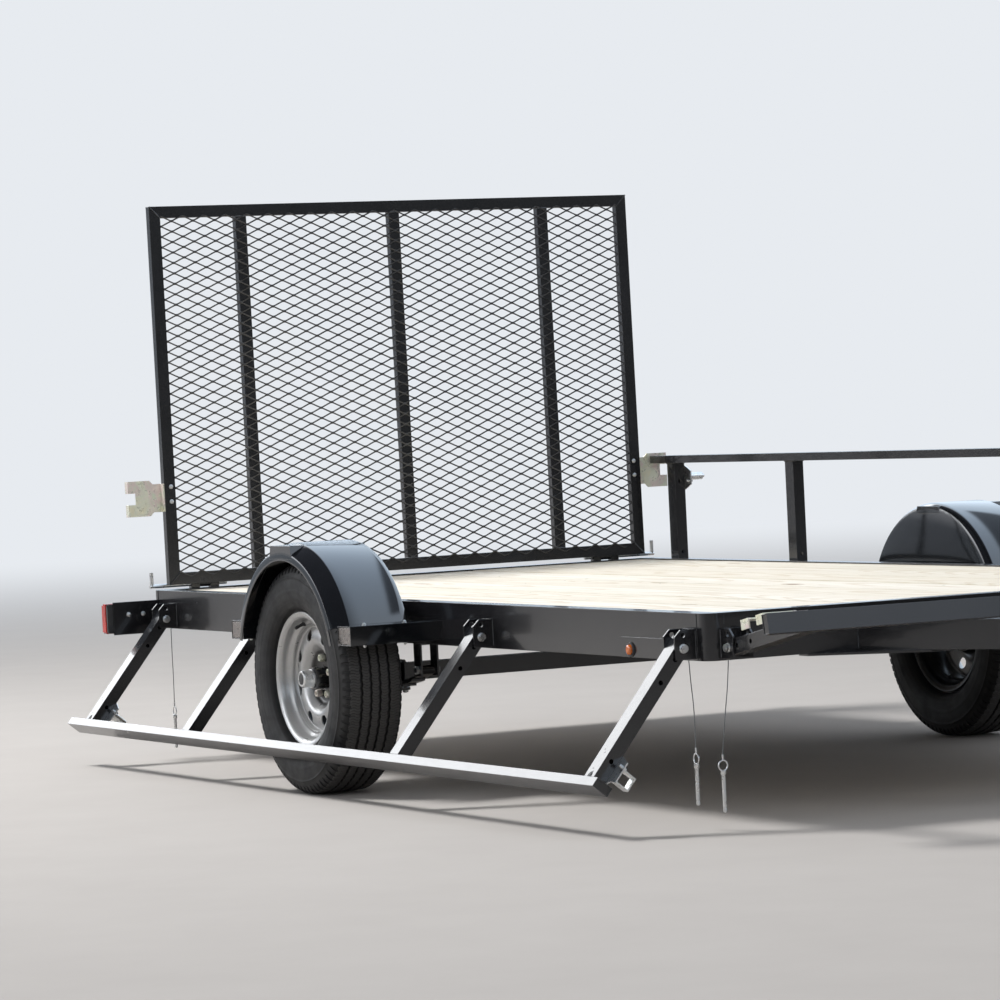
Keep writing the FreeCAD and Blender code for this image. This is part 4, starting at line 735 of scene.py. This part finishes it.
def gate_mesh():
    """Slit and stretched sheet: zigzag strands that meet at knuckles."""
    low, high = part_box("gate_mesh")
    upright = GATE_TURN.inverted()
    sheet_x = ((upright @ low).x + (upright @ high).x) / 2
    half_wide = high.y - 0.002
    foot, head = low.z + 0.004, high.z - 0.004
    rows = int((head - foot) / (CELL_TALL / 2))
    columns = int(2 * half_wide / (CELL_WIDE / 2))
    start_y = -columns * CELL_WIDE / 4
    batch = Batch()
    for row in range(rows):
        middle = foot + (row + 0.5) * CELL_TALL / 2
        for column in range(columns):
            rising = 1 if (row + column) % 2 else -1
            y = start_y + column * CELL_WIDE / 2
            reach = CELL_TALL / 4 - STRAND_WIDE * 0.30
            points = []
            for share, climb, twist in STRAND:
                angle = STRAND_LEAN * (0.45 + 0.55 * twist)
                centre = Vector((sheet_x, y + share * CELL_WIDE / 2, middle + rising * climb * reach))
                flat = Vector((math.sin(angle), 0, math.cos(angle))) * STRAND_WIDE / 2
                thick = Vector((math.cos(angle), 0, -math.sin(angle))) * STRAND_THICK / 2
                points += [centre + flat + thick, centre + flat - thick,
                           centre - flat - thick, centre - flat + thick]
            batch.add([GATE_TURN @ point for point in points], grid_faces(len(STRAND), 4))
    mesh = batch.make("expanded_mesh", "gate", "black_frame", 40)
    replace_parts(mesh, "gate_mesh")


# Places of the smaller parts: the rails' pivots and posts, the bar, the gate's tubes, the springs.
PIVOT_Y = HALF_WIDE + 0.037
PIVOT_Z = 0.001
FRONT_PIVOT_X = FRONT_X + 0.037
FRONT_POST_Y = HALF_WIDE - 0.070
POST_WIDE = 0.0254
POST_THICK = 0.01905
BAR_UNDER = 0.4073
BAR_MIDDLE = 0.420
SIDE_BAR_ENDS = (REAR_X + 0.036, FRONT_X - 0.029)
FRONT_BAR_END = HALF_WIDE + 0.090
EAR_SPAN = 0.0312
CORNER = 0.0508
GATE_FACES = (GATE_HINGE.x + 0.0126, GATE_HINGE.x + 0.038)
GATE_LOW = GATE_HINGE.z + 0.002
GATE_HIGH = GATE_LOW + 1.226
GATE_TUBE = 0.0381
GATE_HALF = HALF_WIDE - 0.0385
GATE_UPRIGHTS = (-0.554, 0.0, 0.554)
CATCH_Y = 0.853
CATCH_BOLTS = (0.372, 0.420)
SPRING_Y = HALF_WIDE - 0.0335
SPRING_EYE = 0.240
EYE_Z = -0.1096
BUSH = ((0, 0.0095), (0.0002, 0.0128), (0.0014, 0.0128), (0.0460, 0.0128), (0.0472, 0.0128),
        (0.0474, 0.0095))
CLAMP_LEG = (0.0314, 0.02825, -0.1770)
FOOT_OUT = 0.3755
FOOT_BOLTS = (1.02, 1.145)
FOOT_TOP = 0.0379
FOOT_UNDER = -0.0171
FOOT_END = (1.1955, 0.0104)
JACK_X = -0.325
JACK_TOP = 0.0546
JACK_BOLTS = ((0.0444, 0.0), (-0.026, 0.036), (-0.026, -0.036))


def fold_turn(pivot, way, degrees, ahead=False):
    """From (along, outward, up) on an upright rail to where the folded rail is."""
    angle = math.radians(degrees)
    outward = X if ahead else way * Y
    along = Y if ahead else X
    turn = Matrix((along, outward * math.cos(angle) - Z * math.sin(angle),
                   outward * math.sin(angle) + Z * math.cos(angle))).transposed().to_4x4()
    turn.translation = pivot
    return turn


def rail_parts(name, turn, posts, ends, latched):
    """Weld beads where the posts meet the bar, closed bar ends and the latches' bolts."""
    steel = Batch()
    for at in posts:
        corners = [(at + a * (POST_WIDE + 0.0008), b * (POST_THICK + 0.0008), BAR_UNDER - 0.0008)
                   for a, b in ((-1, -1), (1, -1), (1, 1), (-1, 1))]
        for number in range(4):
            steel.weld(corners[number - 1], corners[number], 0.0026)
    for end in ends:
        inward = -0.0022 if end == max(ends) else 0.0022
        steel.block((end + inward, 0, BAR_MIDDLE), (0.0008, 0.0232, 0.0105), bevel=0.0004)
    steel.make(name + "_welds", name, "black_frame", turn=turn)
    if latched:
        marks = Batch()
        for at in (posts[0], posts[-1]):
            for up in (0.326, 0.384):
                for aside in (-0.0045, 0.0045):
                    marks.lathe((at + aside, -POST_THICK, up + aside), -Y,
                                [(0, 0.0022), (0.0004, 0.0014)], 10)
            marks.lathe((at, -POST_THICK, 0.3995), -Y, [(0, 0.0105), (0.0003, 0.0100)], 24)
        marks.make(name + "_marks", name, "rubber", turn=turn)


def rails():
    for side, way in SIDES:
        degrees = JOINTS["right_rail_hinge"]["range_deg"][1] if side == "right" else 0
        turn = fold_turn((0, way * PIVOT_Y, PIVOT_Z), way, degrees)
        rail_parts(side + "_rail", turn, POSTS_X, SIDE_BAR_ENDS, True)
    degrees = JOINTS["front_rail_hinge"]["range_deg"][1]
    turn = fold_turn((FRONT_PIVOT_X, 0, PIVOT_Z), 1, degrees, ahead=True)
    rail_parts("front_rail", turn, (-FRONT_POST_Y, FRONT_POST_Y), (-FRONT_BAR_END, FRONT_BAR_END), False)


def gate_parts():
    """Beads at the gate's joints and the bolts of its catch plates."""
    steel, bolts = Batch(), Batch()
    for face, out in ((GATE_FACES[0], -0.0006), (GATE_FACES[1], 0.0006)):
        for y in GATE_UPRIGHTS:
            for z in (GATE_LOW + GATE_TUBE, GATE_HIGH - GATE_TUBE):
                steel.weld((face + out, y - GATE_TUBE / 2, z), (face + out, y + GATE_TUBE / 2, z), 0.0024)
        for way in (-1, 1):
            for z, turned in ((GATE_LOW, 1), (GATE_HIGH, -1)):
                steel.weld((face + out, way * GATE_HALF, z),
                           (face + out, way * (GATE_HALF - GATE_TUBE), z + turned * GATE_TUBE), 0.0024)
    for way in (-1, 1):
        for z in CATCH_BOLTS:
            bolts.bolt((GATE_FACES[1], way * CATCH_Y, z), X, 0.0034, 0.2)
    steel.make("gate_welds", "gate", "black_frame", turn=GATE_TURN)
    bolts.make("gate_bolts", "gate", "zinc", turn=GATE_TURN)


def frame_welds():
    """Beads at the corners, the brackets, the tongue and the coupler's plate."""
    steel = Batch()

    def upright(x, y, low, high, bead):
        steel.weld((x, y, low), (x, y, high), bead)

    low, high = FRAME_LOW + 0.001, FRAME_TOP - 0.001
    ear_low, ear_high = -0.025, 0.047
    leg_near, leg_far = 0.4173, 0.4733
    leg_top = 0.0435
    face = FRONT_X + 0.001
    under = FRAME_LOW - 0.001
    for way in (-1, 1):
        for end, inward in ((FRONT_X, -1), (REAR_X, 1)):
            upright(end + inward * CORNER, way * HALF_WIDE, low, high, 0.0015)
            upright(end, way * (HALF_WIDE - CORNER), low, high, 0.0015)
        for at in POSTS_X:
            for edge in (-EAR_SPAN, EAR_SPAN):
                upright(at + edge, way * (HALF_WIDE + 0.0005), ear_low, ear_high, 0.0022)
        for edge in (-EAR_SPAN, EAR_SPAN):
            upright(FRONT_X + 0.0005, way * FRONT_POST_Y + edge, ear_low, ear_high, 0.0022)
        for y in (leg_far, leg_near):
            upright(face, way * y, FRAME_LOW + 0.002, leg_top - 0.001, 0.003)
        steel.weld((face, way * leg_near, leg_top), (face, way * leg_far, leg_top), 0.003)
        steel.weld((-0.4, way * 0.1350, 0.0440), (-0.4, way * 0.0870, 0.0440), 0.0028)
        steel.weld((FRONT_X + 0.2, way * 0.380, under), (FRONT_X + 0.06, way * 0.445, under), 0.0024)
    steel.make("frame_welds", "frame", "black_frame")


def running_gear():
    """Bolts of the springs, the spring clamps, the fender feet, the jack and the lamp plates, with light plates on
    the feet's ends as a painted reflection.
    """
    bolts, plates, springs = Batch(), Batch(), Batch()
    for way in (-1, 1):
        out = Y * way
        for along in (-1, 1):
            eye = Vector((WHEEL_X + along * SPRING_EYE, way * SPRING_Y, EYE_Z))
            bolts.hex_head(eye + out * 0.0285, out, 0.0125, 0.0075, 0.4)
            bolts.washer(eye - out * 0.0285, -out, 0.0135, 0.002)
            bolts.hex_head(eye - out * 0.0305, -out, 0.0120, 0.0075, 0.1)
            springs.lathe(eye - out * 0.0237, out, BUSH, 24)
            for across in (-1, 1):
                leg = Vector((WHEEL_X + along * CLAMP_LEG[0], way * SPRING_Y + across * CLAMP_LEG[1],
                              CLAMP_LEG[2]))
                bolts.washer(leg, -Z, 0.0105, 0.0012)
                bolts.hex_head(leg - Z * 0.0012, -Z, 0.0098, 0.0058, 0.2 * across)
            foot = WHEEL_X + along * FOOT_OUT
            for y in FOOT_BOLTS:
                bolts.bolt((foot + along * 0.022, way * y, FOOT_TOP), Z, 0.0032, 0.3)
                bolts.bolt((foot + along * 0.022, way * y, FOOT_UNDER), -Z, 0.0032, 0.1)
            # painted reflection: light plates on the feet's ends for the ground and sky mirrored in their gloss
            # black
            plates.block((foot, way * FOOT_END[0], FOOT_END[1]), (0.0382, 0.0012, 0.0232), bevel=0.0010)
        for y in (0.057, 0.107):
            bolts.bolt((REAR_X + 0.054, way * (HALF_WIDE + y), 0.017), X, 0.0036, y * 20)
    for x, y in JACK_BOLTS:
        bolts.bolt((JACK_X + x, y, JACK_TOP), Z, 0.0052, x * 10)
    bolts.make("frame_bolts", "frame", "zinc")
    plates.make("fender_foot_ends", "frame", "steel")
    springs.make("spring_bushes", "frame", "rubber")


LAMP_Y = 1.0485
LAMP_HALF = 0.0440
LAMP_GLASS = 0.017
MARKER_BACK = 0.398
MARKER_Z = -0.013
GROMMET = ((0, 0.0195), (0.0022, 0.0195), (0.0042, 0.0178), (0.0046, 0.0150), (0.0030, 0.0136))
MARKER_DOME = ((0.0005, 0.0132), (0.0078, 0.0130), (0.0100, 0.0118), (0.0114, 0.0092), (0.0120, 0.0050))


def lamps():
    """Tail lamps with a dark housing behind a ribbed lens, and a rubber ring round each marker."""
    low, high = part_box("tail_lenses")
    for side, way in SIDES:
        housing, glass = Batch(), Batch()
        middle = Vector((0, way * LAMP_Y, (low.z + high.z) / 2))
        half_y, half_z = LAMP_HALF, (high.z - low.z) / 2
        split = high.x - LAMP_GLASS
        housing.block(middle + X * (high.x + split) / 2, (0.0085, half_y - 0.0008, half_z - 0.0008),
                      bevel=0.0030)
        glass.block(middle + X * (split + low.x) / 2, ((split - low.x) / 2, half_y, half_z), bevel=0.0045)
        glass.block(middle + X * (split - 0.0010), (0.0010, half_y + 0.0004, half_z + 0.0004),
                    bevel=0.0008)
        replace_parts(glass.make("tail_lamp_lens_" + side, "frame", "red_lens"), "tail_lenses")
        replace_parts(housing.make("tail_lamp_housing_" + side, "frame", "rubber"), "tail_lenses")
        ring, dome = Batch(), Batch()
        at = Vector((FRONT_X - MARKER_BACK, way * (HALF_WIDE + 0.003), MARKER_Z))
        ring.lathe(at, Y * way, GROMMET, 36)
        dome.lathe(at, Y * way, MARKER_DOME, 36)
        ring.make("marker_grommet_" + side, "frame", "rubber")
        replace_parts(dome.make("marker_lamp_" + side, "frame", "amber_lens"), "marker_lenses")


# Fender section: distance out from the frame and radius, over the top from the inner panel to the lip.
FENDER_Z = WHEEL_Z + 0.026
FENDER_SKIN = ((0.0600, 0.3480), (0.0625, 0.3560), (0.0700, 0.3620), (0.0800, 0.3660), (0.0860, 0.3670),
               (0.2480, 0.3670), (0.2545, 0.3655), (0.2900, 0.3475), (0.2950, 0.3445), (0.2985, 0.3405),
               (0.3000, 0.3350), (0.3000, 0.3180), (0.2985, 0.3170))
FENDER_UNDER = ((0.2970, 0.3180), (0.2970, 0.3305), (0.2900, 0.3425), (0.2530, 0.3625), (0.2470, 0.3638),
                (0.0870, 0.3638), (0.0730, 0.3590), (0.0650, 0.3530), (0.0632, 0.3470))
CROWN_RADIUS = 0.3670
CROWN_REACH = math.radians(68.1)
LIP_REACH = math.radians(75.6)
LIP_LOOP = ((0.2970, 0.3180), (0.2985, 0.3170), (0.3000, 0.3180), (0.3000, 0.3310), (0.2970, 0.3305))


def arc_strip(batch, way, section, start, finish, steps, skirt=False):
    """Sweeps a closed section round the wheel; a skirt hangs its first and last points to the feet."""
    chord = CROWN_RADIUS * math.cos(CROWN_REACH)
    points = []
    for step in range(steps + 1):
        angle = start + (finish - start) * step / steps
        row = [(math.sin(angle) * radius, out, math.cos(angle) * radius) for out, radius in section]
        if skirt:
            for x, out, z in (row[-1], row[0]):
                row.append((x, out, min(chord, z - 0.0005)))
        points += [(WHEEL_X + x, way * (HALF_WIDE + out), FENDER_Z + z) for x, out, z in row]
    batch.add(points, grid_faces(steps + 1, len(row)))


def boss(batch, way, inner, outer, half_top, half_foot, foot, head):
    """A pressed block with leaning ends on the crest."""
    corners = [(a * half, out, z) for z, half in ((foot, half_foot), (head, half_top))
               for out in (inner, outer) for a in (-1, 1)]
    points = [(WHEEL_X + x, way * (HALF_WIDE + out), FENDER_Z + z) for x, out, z in corners]
    batch.add(points, [(0, 1, 3, 2), (4, 5, 7, 6), (0, 1, 5, 4), (2, 3, 7, 6), (0, 2, 6, 4), (1, 3, 7, 5)])


def fenders():
    """Bevelled crowns with rolled lips, pressed blocks on the crest and a closed inner side."""
    for side, way in SIDES:
        batch = Batch()
        arc_strip(batch, way, FENDER_SKIN + FENDER_UNDER, -CROWN_REACH, CROWN_REACH, 72, skirt=True)
        for turned in (-1, 1):
            arc_strip(batch, way, LIP_LOOP, turned * CROWN_REACH, turned * LIP_REACH, 6)
        boss(batch, way, 0.2540, 0.2998, 0.068, 0.078, 0.322, 0.3605)
        boss(batch, way, 0.0602, 0.0800, 0.060, 0.068, 0.335, 0.3570)
        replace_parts(batch.make("pressed_fender_" + side, "frame", "gloss_black", 24), "fender_" + side)


# Rim and disc sections: distance out from the wheel's middle and radius.
RIM_FACE = (
    (0.0700, 0.1950), (0.0728, 0.1944), (0.0742, 0.1922), (0.0738, 0.1890), (0.0722, 0.1850),
    (0.0706, 0.1805), (0.0684, 0.1768), (0.0640, 0.1742), (0.0570, 0.1728), (0.0500, 0.1712),
    (0.0455, 0.1680), (0.0415, 0.1610), (0.0385, 0.1575), (0.0345, 0.1563))
RIM_BACK = ((0.0378, 0.1600), (0.0475, 0.1762), (0.0692, 0.1786))
DISC_FACE = (
    (0.0000, 0.0330), (0.0032, 0.0330), (0.0040, 0.0340), (0.0040, 0.0640), (0.0048, 0.0700),
    (0.0090, 0.0765), (0.0190, 0.0850), (0.0270, 0.0920), (0.0315, 0.1000), (0.0332, 0.1100),
    (0.0325, 0.1220), (0.0300, 0.1340), (0.0272, 0.1420), (0.0248, 0.1465), (0.0240, 0.1495),
    (0.0262, 0.1525), (0.0310, 0.1545), (0.0362, 0.1552), (0.0362, 0.1564))
DISC_THICK = 0.0036
HAND_RING = 0.128
HAND_HOLE = 0.017
STUD_RING = 0.05715
STUD_HOLE = 0.0070
NUT = ((0, 0.0098), (0.0022, 0.0112), (0.0155, 0.0112), (0.0178, 0.0098), (0.0180, 0.0072), (0.0172, 0.0066),
       (0.0110, 0.0064))
# painted shade: a black cone inside each open nut stands for the shade in its hole
NUT_INSIDE = ((0.0100, 0.0064), (0.0122, 0.0062), (0.0135, 0.0050))
CAP_PLUG = ((0.0780, 0.0170), (0.0800, 0.0168), (0.0806, 0.0120), (0.0812, 0.0050))
VALVE = ((-0.002, 0.0078), (0.002, 0.0076), (0.006, 0.0050), (0.020, 0.0042), (0.022, 0.0048),
         (0.031, 0.0048), (0.032, 0.0038))
VALVE_AT = math.radians(107)


def punched(mesh, cutters):
    """The mesh with the cutters' shapes taken out of it."""
    items = [bpy.data.objects.new("blank", mesh), bpy.data.objects.new("punch", cutters)]
    for item in items:
        bpy.context.scene.collection.objects.link(item)
    holes = items[0].modifiers.new("holes", "BOOLEAN")
    holes.operation = "DIFFERENCE"
    holes.solver = "EXACT"
    holes.object = items[1]
    done = bpy.data.meshes.new_from_object(items[0].evaluated_get(bpy.context.evaluated_depsgraph_get()))
    for item in items:
        bpy.data.objects.remove(item)
    return done


def wheel_middle(way):
    return Vector((WHEEL_X, way * WHEEL_Y, WHEEL_Z))


def rims():
    """Steel wheels: a rolled barrel with a drop centre and a pressed disc with round hand holes."""
    barrel = RIM_FACE + tuple((-out, radius) for out, radius in reversed(RIM_FACE))
    barrel += tuple((-out, radius) for out, radius in reversed(RIM_BACK)) + RIM_BACK
    back = tuple((out - DISC_THICK, radius + 0.0008) for out, radius in reversed(DISC_FACE[2:]))
    for side, way in SIDES:
        centre, out = wheel_middle(way), Y * way
        blank, punches, ring = Batch(), Batch(), Batch()
        blank.lathe(centre, out, DISC_FACE + back, 144, closed=True)
        for count, ring_radius, radius, start in ((8, HAND_RING, HAND_HOLE, 0.048),
                                                  (5, STUD_RING, STUD_HOLE, 0.25)):
            for number in range(count):
                at = centre + spoke(X, TURN * (start + number / count)) * ring_radius
                punches.lathe(at, out, [(-0.04, radius), (0.06, radius)], 32)
        mesh = punched(blank.mesh("disc_blank"), punches.mesh("disc_punches"))
        mesh.name = "wheel_disc_" + side
        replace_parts(new_piece(mesh.name, mesh, "wheel_" + side, "silver_wheel", 35), "rim_" + side)
        ring.lathe(centre, out, barrel, 144, closed=True)
        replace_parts(ring.make("wheel_barrel_" + side, "wheel_" + side, "silver_wheel", 35), "rim_" + side)


def wheel_parts():
    """Open lug nuts with black cones in their holes as painted shade, the rubber plug of the grease cap and the
    valve.
    """
    for side, way in SIDES:
        nuts, dark = Batch(), Batch()
        centre, out = wheel_middle(way), Y * way
        for number in range(5):
            at = centre + spoke(X, TURN * (0.25 + number / 5)) * STUD_RING + out * 0.0040
            nuts.lathe(at, out, NUT, 6, number * 0.6)
            # painted shade: the dark cone fills the nut's hole
            dark.lathe(at, out, NUT_INSIDE, 16)
        dark.lathe(centre, out, CAP_PLUG, 32)
        valve = spoke(X, VALVE_AT)
        lean = (out * 0.92 - valve * 0.39).normalized()
        dark.lathe(centre + valve * 0.1640 + out * 0.0420, lean, VALVE, 16)
        nuts = nuts.make("lug_nuts_open_" + side, "wheel_" + side, "yellow_zinc")
        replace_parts(nuts, "lug_nuts_" + side)
        dark.make("wheel_rubber_and_nut_shade_" + side, "wheel_" + side, "rubber")


def deck_screws():
    """A row of sunk screws over each crossmember."""
    screws = Batch()
    low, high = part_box("deck_boards")
    pitch = (high.y - low.y) / BOARD_COUNT
    for beam in range(5):
        x = FRONT_X - (beam + 1) * (FRONT_X - REAR_X) / 6
        for number in range(BOARD_COUNT):
            for aside in (-0.32, 0.32):
                y = low.y + (number + 0.5 + aside) * pitch
                at = (x + random.uniform(-0.006, 0.006), y, high.z - 0.0016)
                screws.lathe(at, Z, [(0, 0.0048), (0.0010, 0.0048), (0.0013, 0.0042), (0.0004, 0.0018)], 12)
    screws.make("deck_screws", "frame", "yellow_zinc")


# The sky that the paint mirrors: height of the ray, then its tone behind, behind to the left, and ahead.
OVERHEAD = (0.25, 0.31, 0.39)
SKY_BEHIND = ((0.0, (0.045, 0.050, 0.056)), (0.10, (0.055, 0.062, 0.072)), (0.22, (0.55, 0.57, 0.60)),
              (0.50, (0.80, 0.81, 0.82)), (1.0, OVERHEAD))
SKY_LEFT = ((0.0, (0.09, 0.105, 0.12)), (0.20, (0.17, 0.20, 0.235)), (0.55, (0.20, 0.24, 0.285)),
            (1.0, OVERHEAD))
SKY_AHEAD = ((0.0, (0.018, 0.019, 0.020)), (0.14, (0.024, 0.026, 0.028)), (0.34, (0.20, 0.22, 0.25)),
             (0.60, (0.24, 0.28, 0.33)), (1.0, OVERHEAD))
LEFT_TO_BEHIND = (0.34, 0.10)
AHEAD_TO_REAR = (0.45, -0.45)
# Dark flags in that sky, as a share and where each edge starts and ends: one overhead to the right, a small
# one far to the left, and a bank low on the right for the fender's lip.
FLAGS = (
    (1.0, ("Z", 0.50, 0.60), ("Y", 0.33, 0.12)),
    (0.85, ("Z", 0.62, 0.68), ("Y", 0.49, 0.515)),
    (0.88, ("Z", 0.34, 0.44), ("Z", 0.78, 0.68), ("Y", -0.25, -0.45)),
)
FLAG_TONE = (0.012, 0.013, 0.016)
SOFT_TONE = (0.90, 0.94, 1.0)
SOFT_STRENGTH = 0.50
SKY_STRENGTH = 6.5
BACKDROP = (0.80, 0.83, 0.87)
FLOOR_TONE = ((0.455, 0.428, 0.405), (0.505, 0.478, 0.452))
MIRRORED_FLOOR = ((0.62, 0.62, 0.64), (0.07, 0.07, 0.075))
FADE_START = 6.0
FADE_END = 24.0


def backdrop():
    """An even backdrop for the camera, a soft sky for the light and a banded sky for the mirror rays."""
    world = bpy.data.worlds.new("Studio")
    world.use_nodes = True
    bpy.context.scene.world = world
    tree = world.node_tree
    tree.nodes.clear()

    graph = Graph(tree)
    way = graph.split(graph.add("TexCoord", {}, "Generated"))
    leftward, behind, ahead = (graph.ramp(way["Z"], *stops) for stops in (SKY_LEFT, SKY_BEHIND, SKY_AHEAD))
    sky = graph.mix(graph.smooth_step(way["Y"], *LEFT_TO_BEHIND), leftward, behind)
    sky = graph.mix(graph.smooth_step(way["X"], *AHEAD_TO_REAR), ahead, sky)
    for amount, *edges in FLAGS:
        share = amount
        for axis, start, end in edges:
            share = graph.times(share, graph.smooth_step(way[axis], start, end))
        sky = graph.mix(share, sky, FLAG_TONE)
    rays = graph.add("LightPath", {}).node.outputs
    shader = graph.add("Background", {"Color": (*SOFT_TONE, 1), "Strength": SOFT_STRENGTH})
    mirror = graph.add("Background", {"Color": sky, "Strength": SKY_STRENGTH})
    even = graph.add("Background", {"Color": (*BACKDROP, 1)})
    for ray, other in (("Is Glossy Ray", mirror), ("Is Transmission Ray", even), ("Is Camera Ray", even)):
        shader = graph.add("MixShader", {0: rays[ray], 1: shader, 2: other})
    tree.links.new(shader, tree.nodes.new("ShaderNodeOutputWorld").inputs[0])


def floor():
    """A wide pale floor that fades into the backdrop."""
    bpy.ops.mesh.primitive_circle_add(vertices=96, radius=90, fill_type="NGON", location=(-2, 0, FLOOR_Z))
    item = bpy.context.active_object
    item.name = "studio_floor"
    paint = Paint("studio_floor", roughness=0.9, specular_ior_level=0.15)
    paint.finish(paint.mix(paint.noise(3, 4, 0.6), *FLOOR_TONE))
    point = paint.add("TexCoord", {}, "Object")
    away = paint.add("VectorMath", {0: point}, "Value", operation="LENGTH")
    fade = paint.smooth_step(away, FADE_START, FADE_END)
    ahead = paint.add("MapRange", {"Value": paint.split(point)["X"], "From Min": -6.0, "From Max": 6.0})
    mirrored = paint.mix(ahead, *MIRRORED_FLOOR)
    even = paint.mix(paint.add("LightPath", {}, "Is Camera Ray"), mirrored, BACKDROP)
    even = paint.add("Emission", {"Color": even})
    blend = paint.add("MixShader", {0: fade, 1: paint.shader.outputs[0], 2: even})
    paint.tree.links.new(blend, paint.tree.nodes["Material Output"].inputs["Surface"])
    item.data.materials.append(paint.material)


# Lamps: name, place, size across, watts; both look at the same place.
LAMP_AIM = Vector((-2.6, 0, 0))
LAMPS = (("Key", (-7.5, -5.0, 9.0), 3.0, 1340), ("Fill", (7.0, -3.0, 6.0), 6.0, 170))


def stage():
    backdrop()
    floor()
    for name, at, size, watts in LAMPS:
        data = bpy.data.lights.new(name, "AREA")
        data.shape = "DISK"
        data.size = size
        data.energy = watts
        lamp = bpy.data.objects.new(name, data)
        lamp.location = at
        lamp.rotation_euler = (LAMP_AIM - Vector(at)).to_track_quat("-Z", "Y").to_euler()
        lamp.visible_glossy = False
        bpy.context.scene.collection.objects.link(lamp)
    bpy.context.scene.view_settings.view_transform = "Standard"


def main():
    camera()
    finish_nodes()
    lanyards()
    tyres()
    deck()
    deck_screws()
    gate_mesh()
    rails()
    gate_parts()
    frame_welds()
    running_gear()
    lamps()
    fenders()
    rims()
    wheel_parts()
    stage()


main()
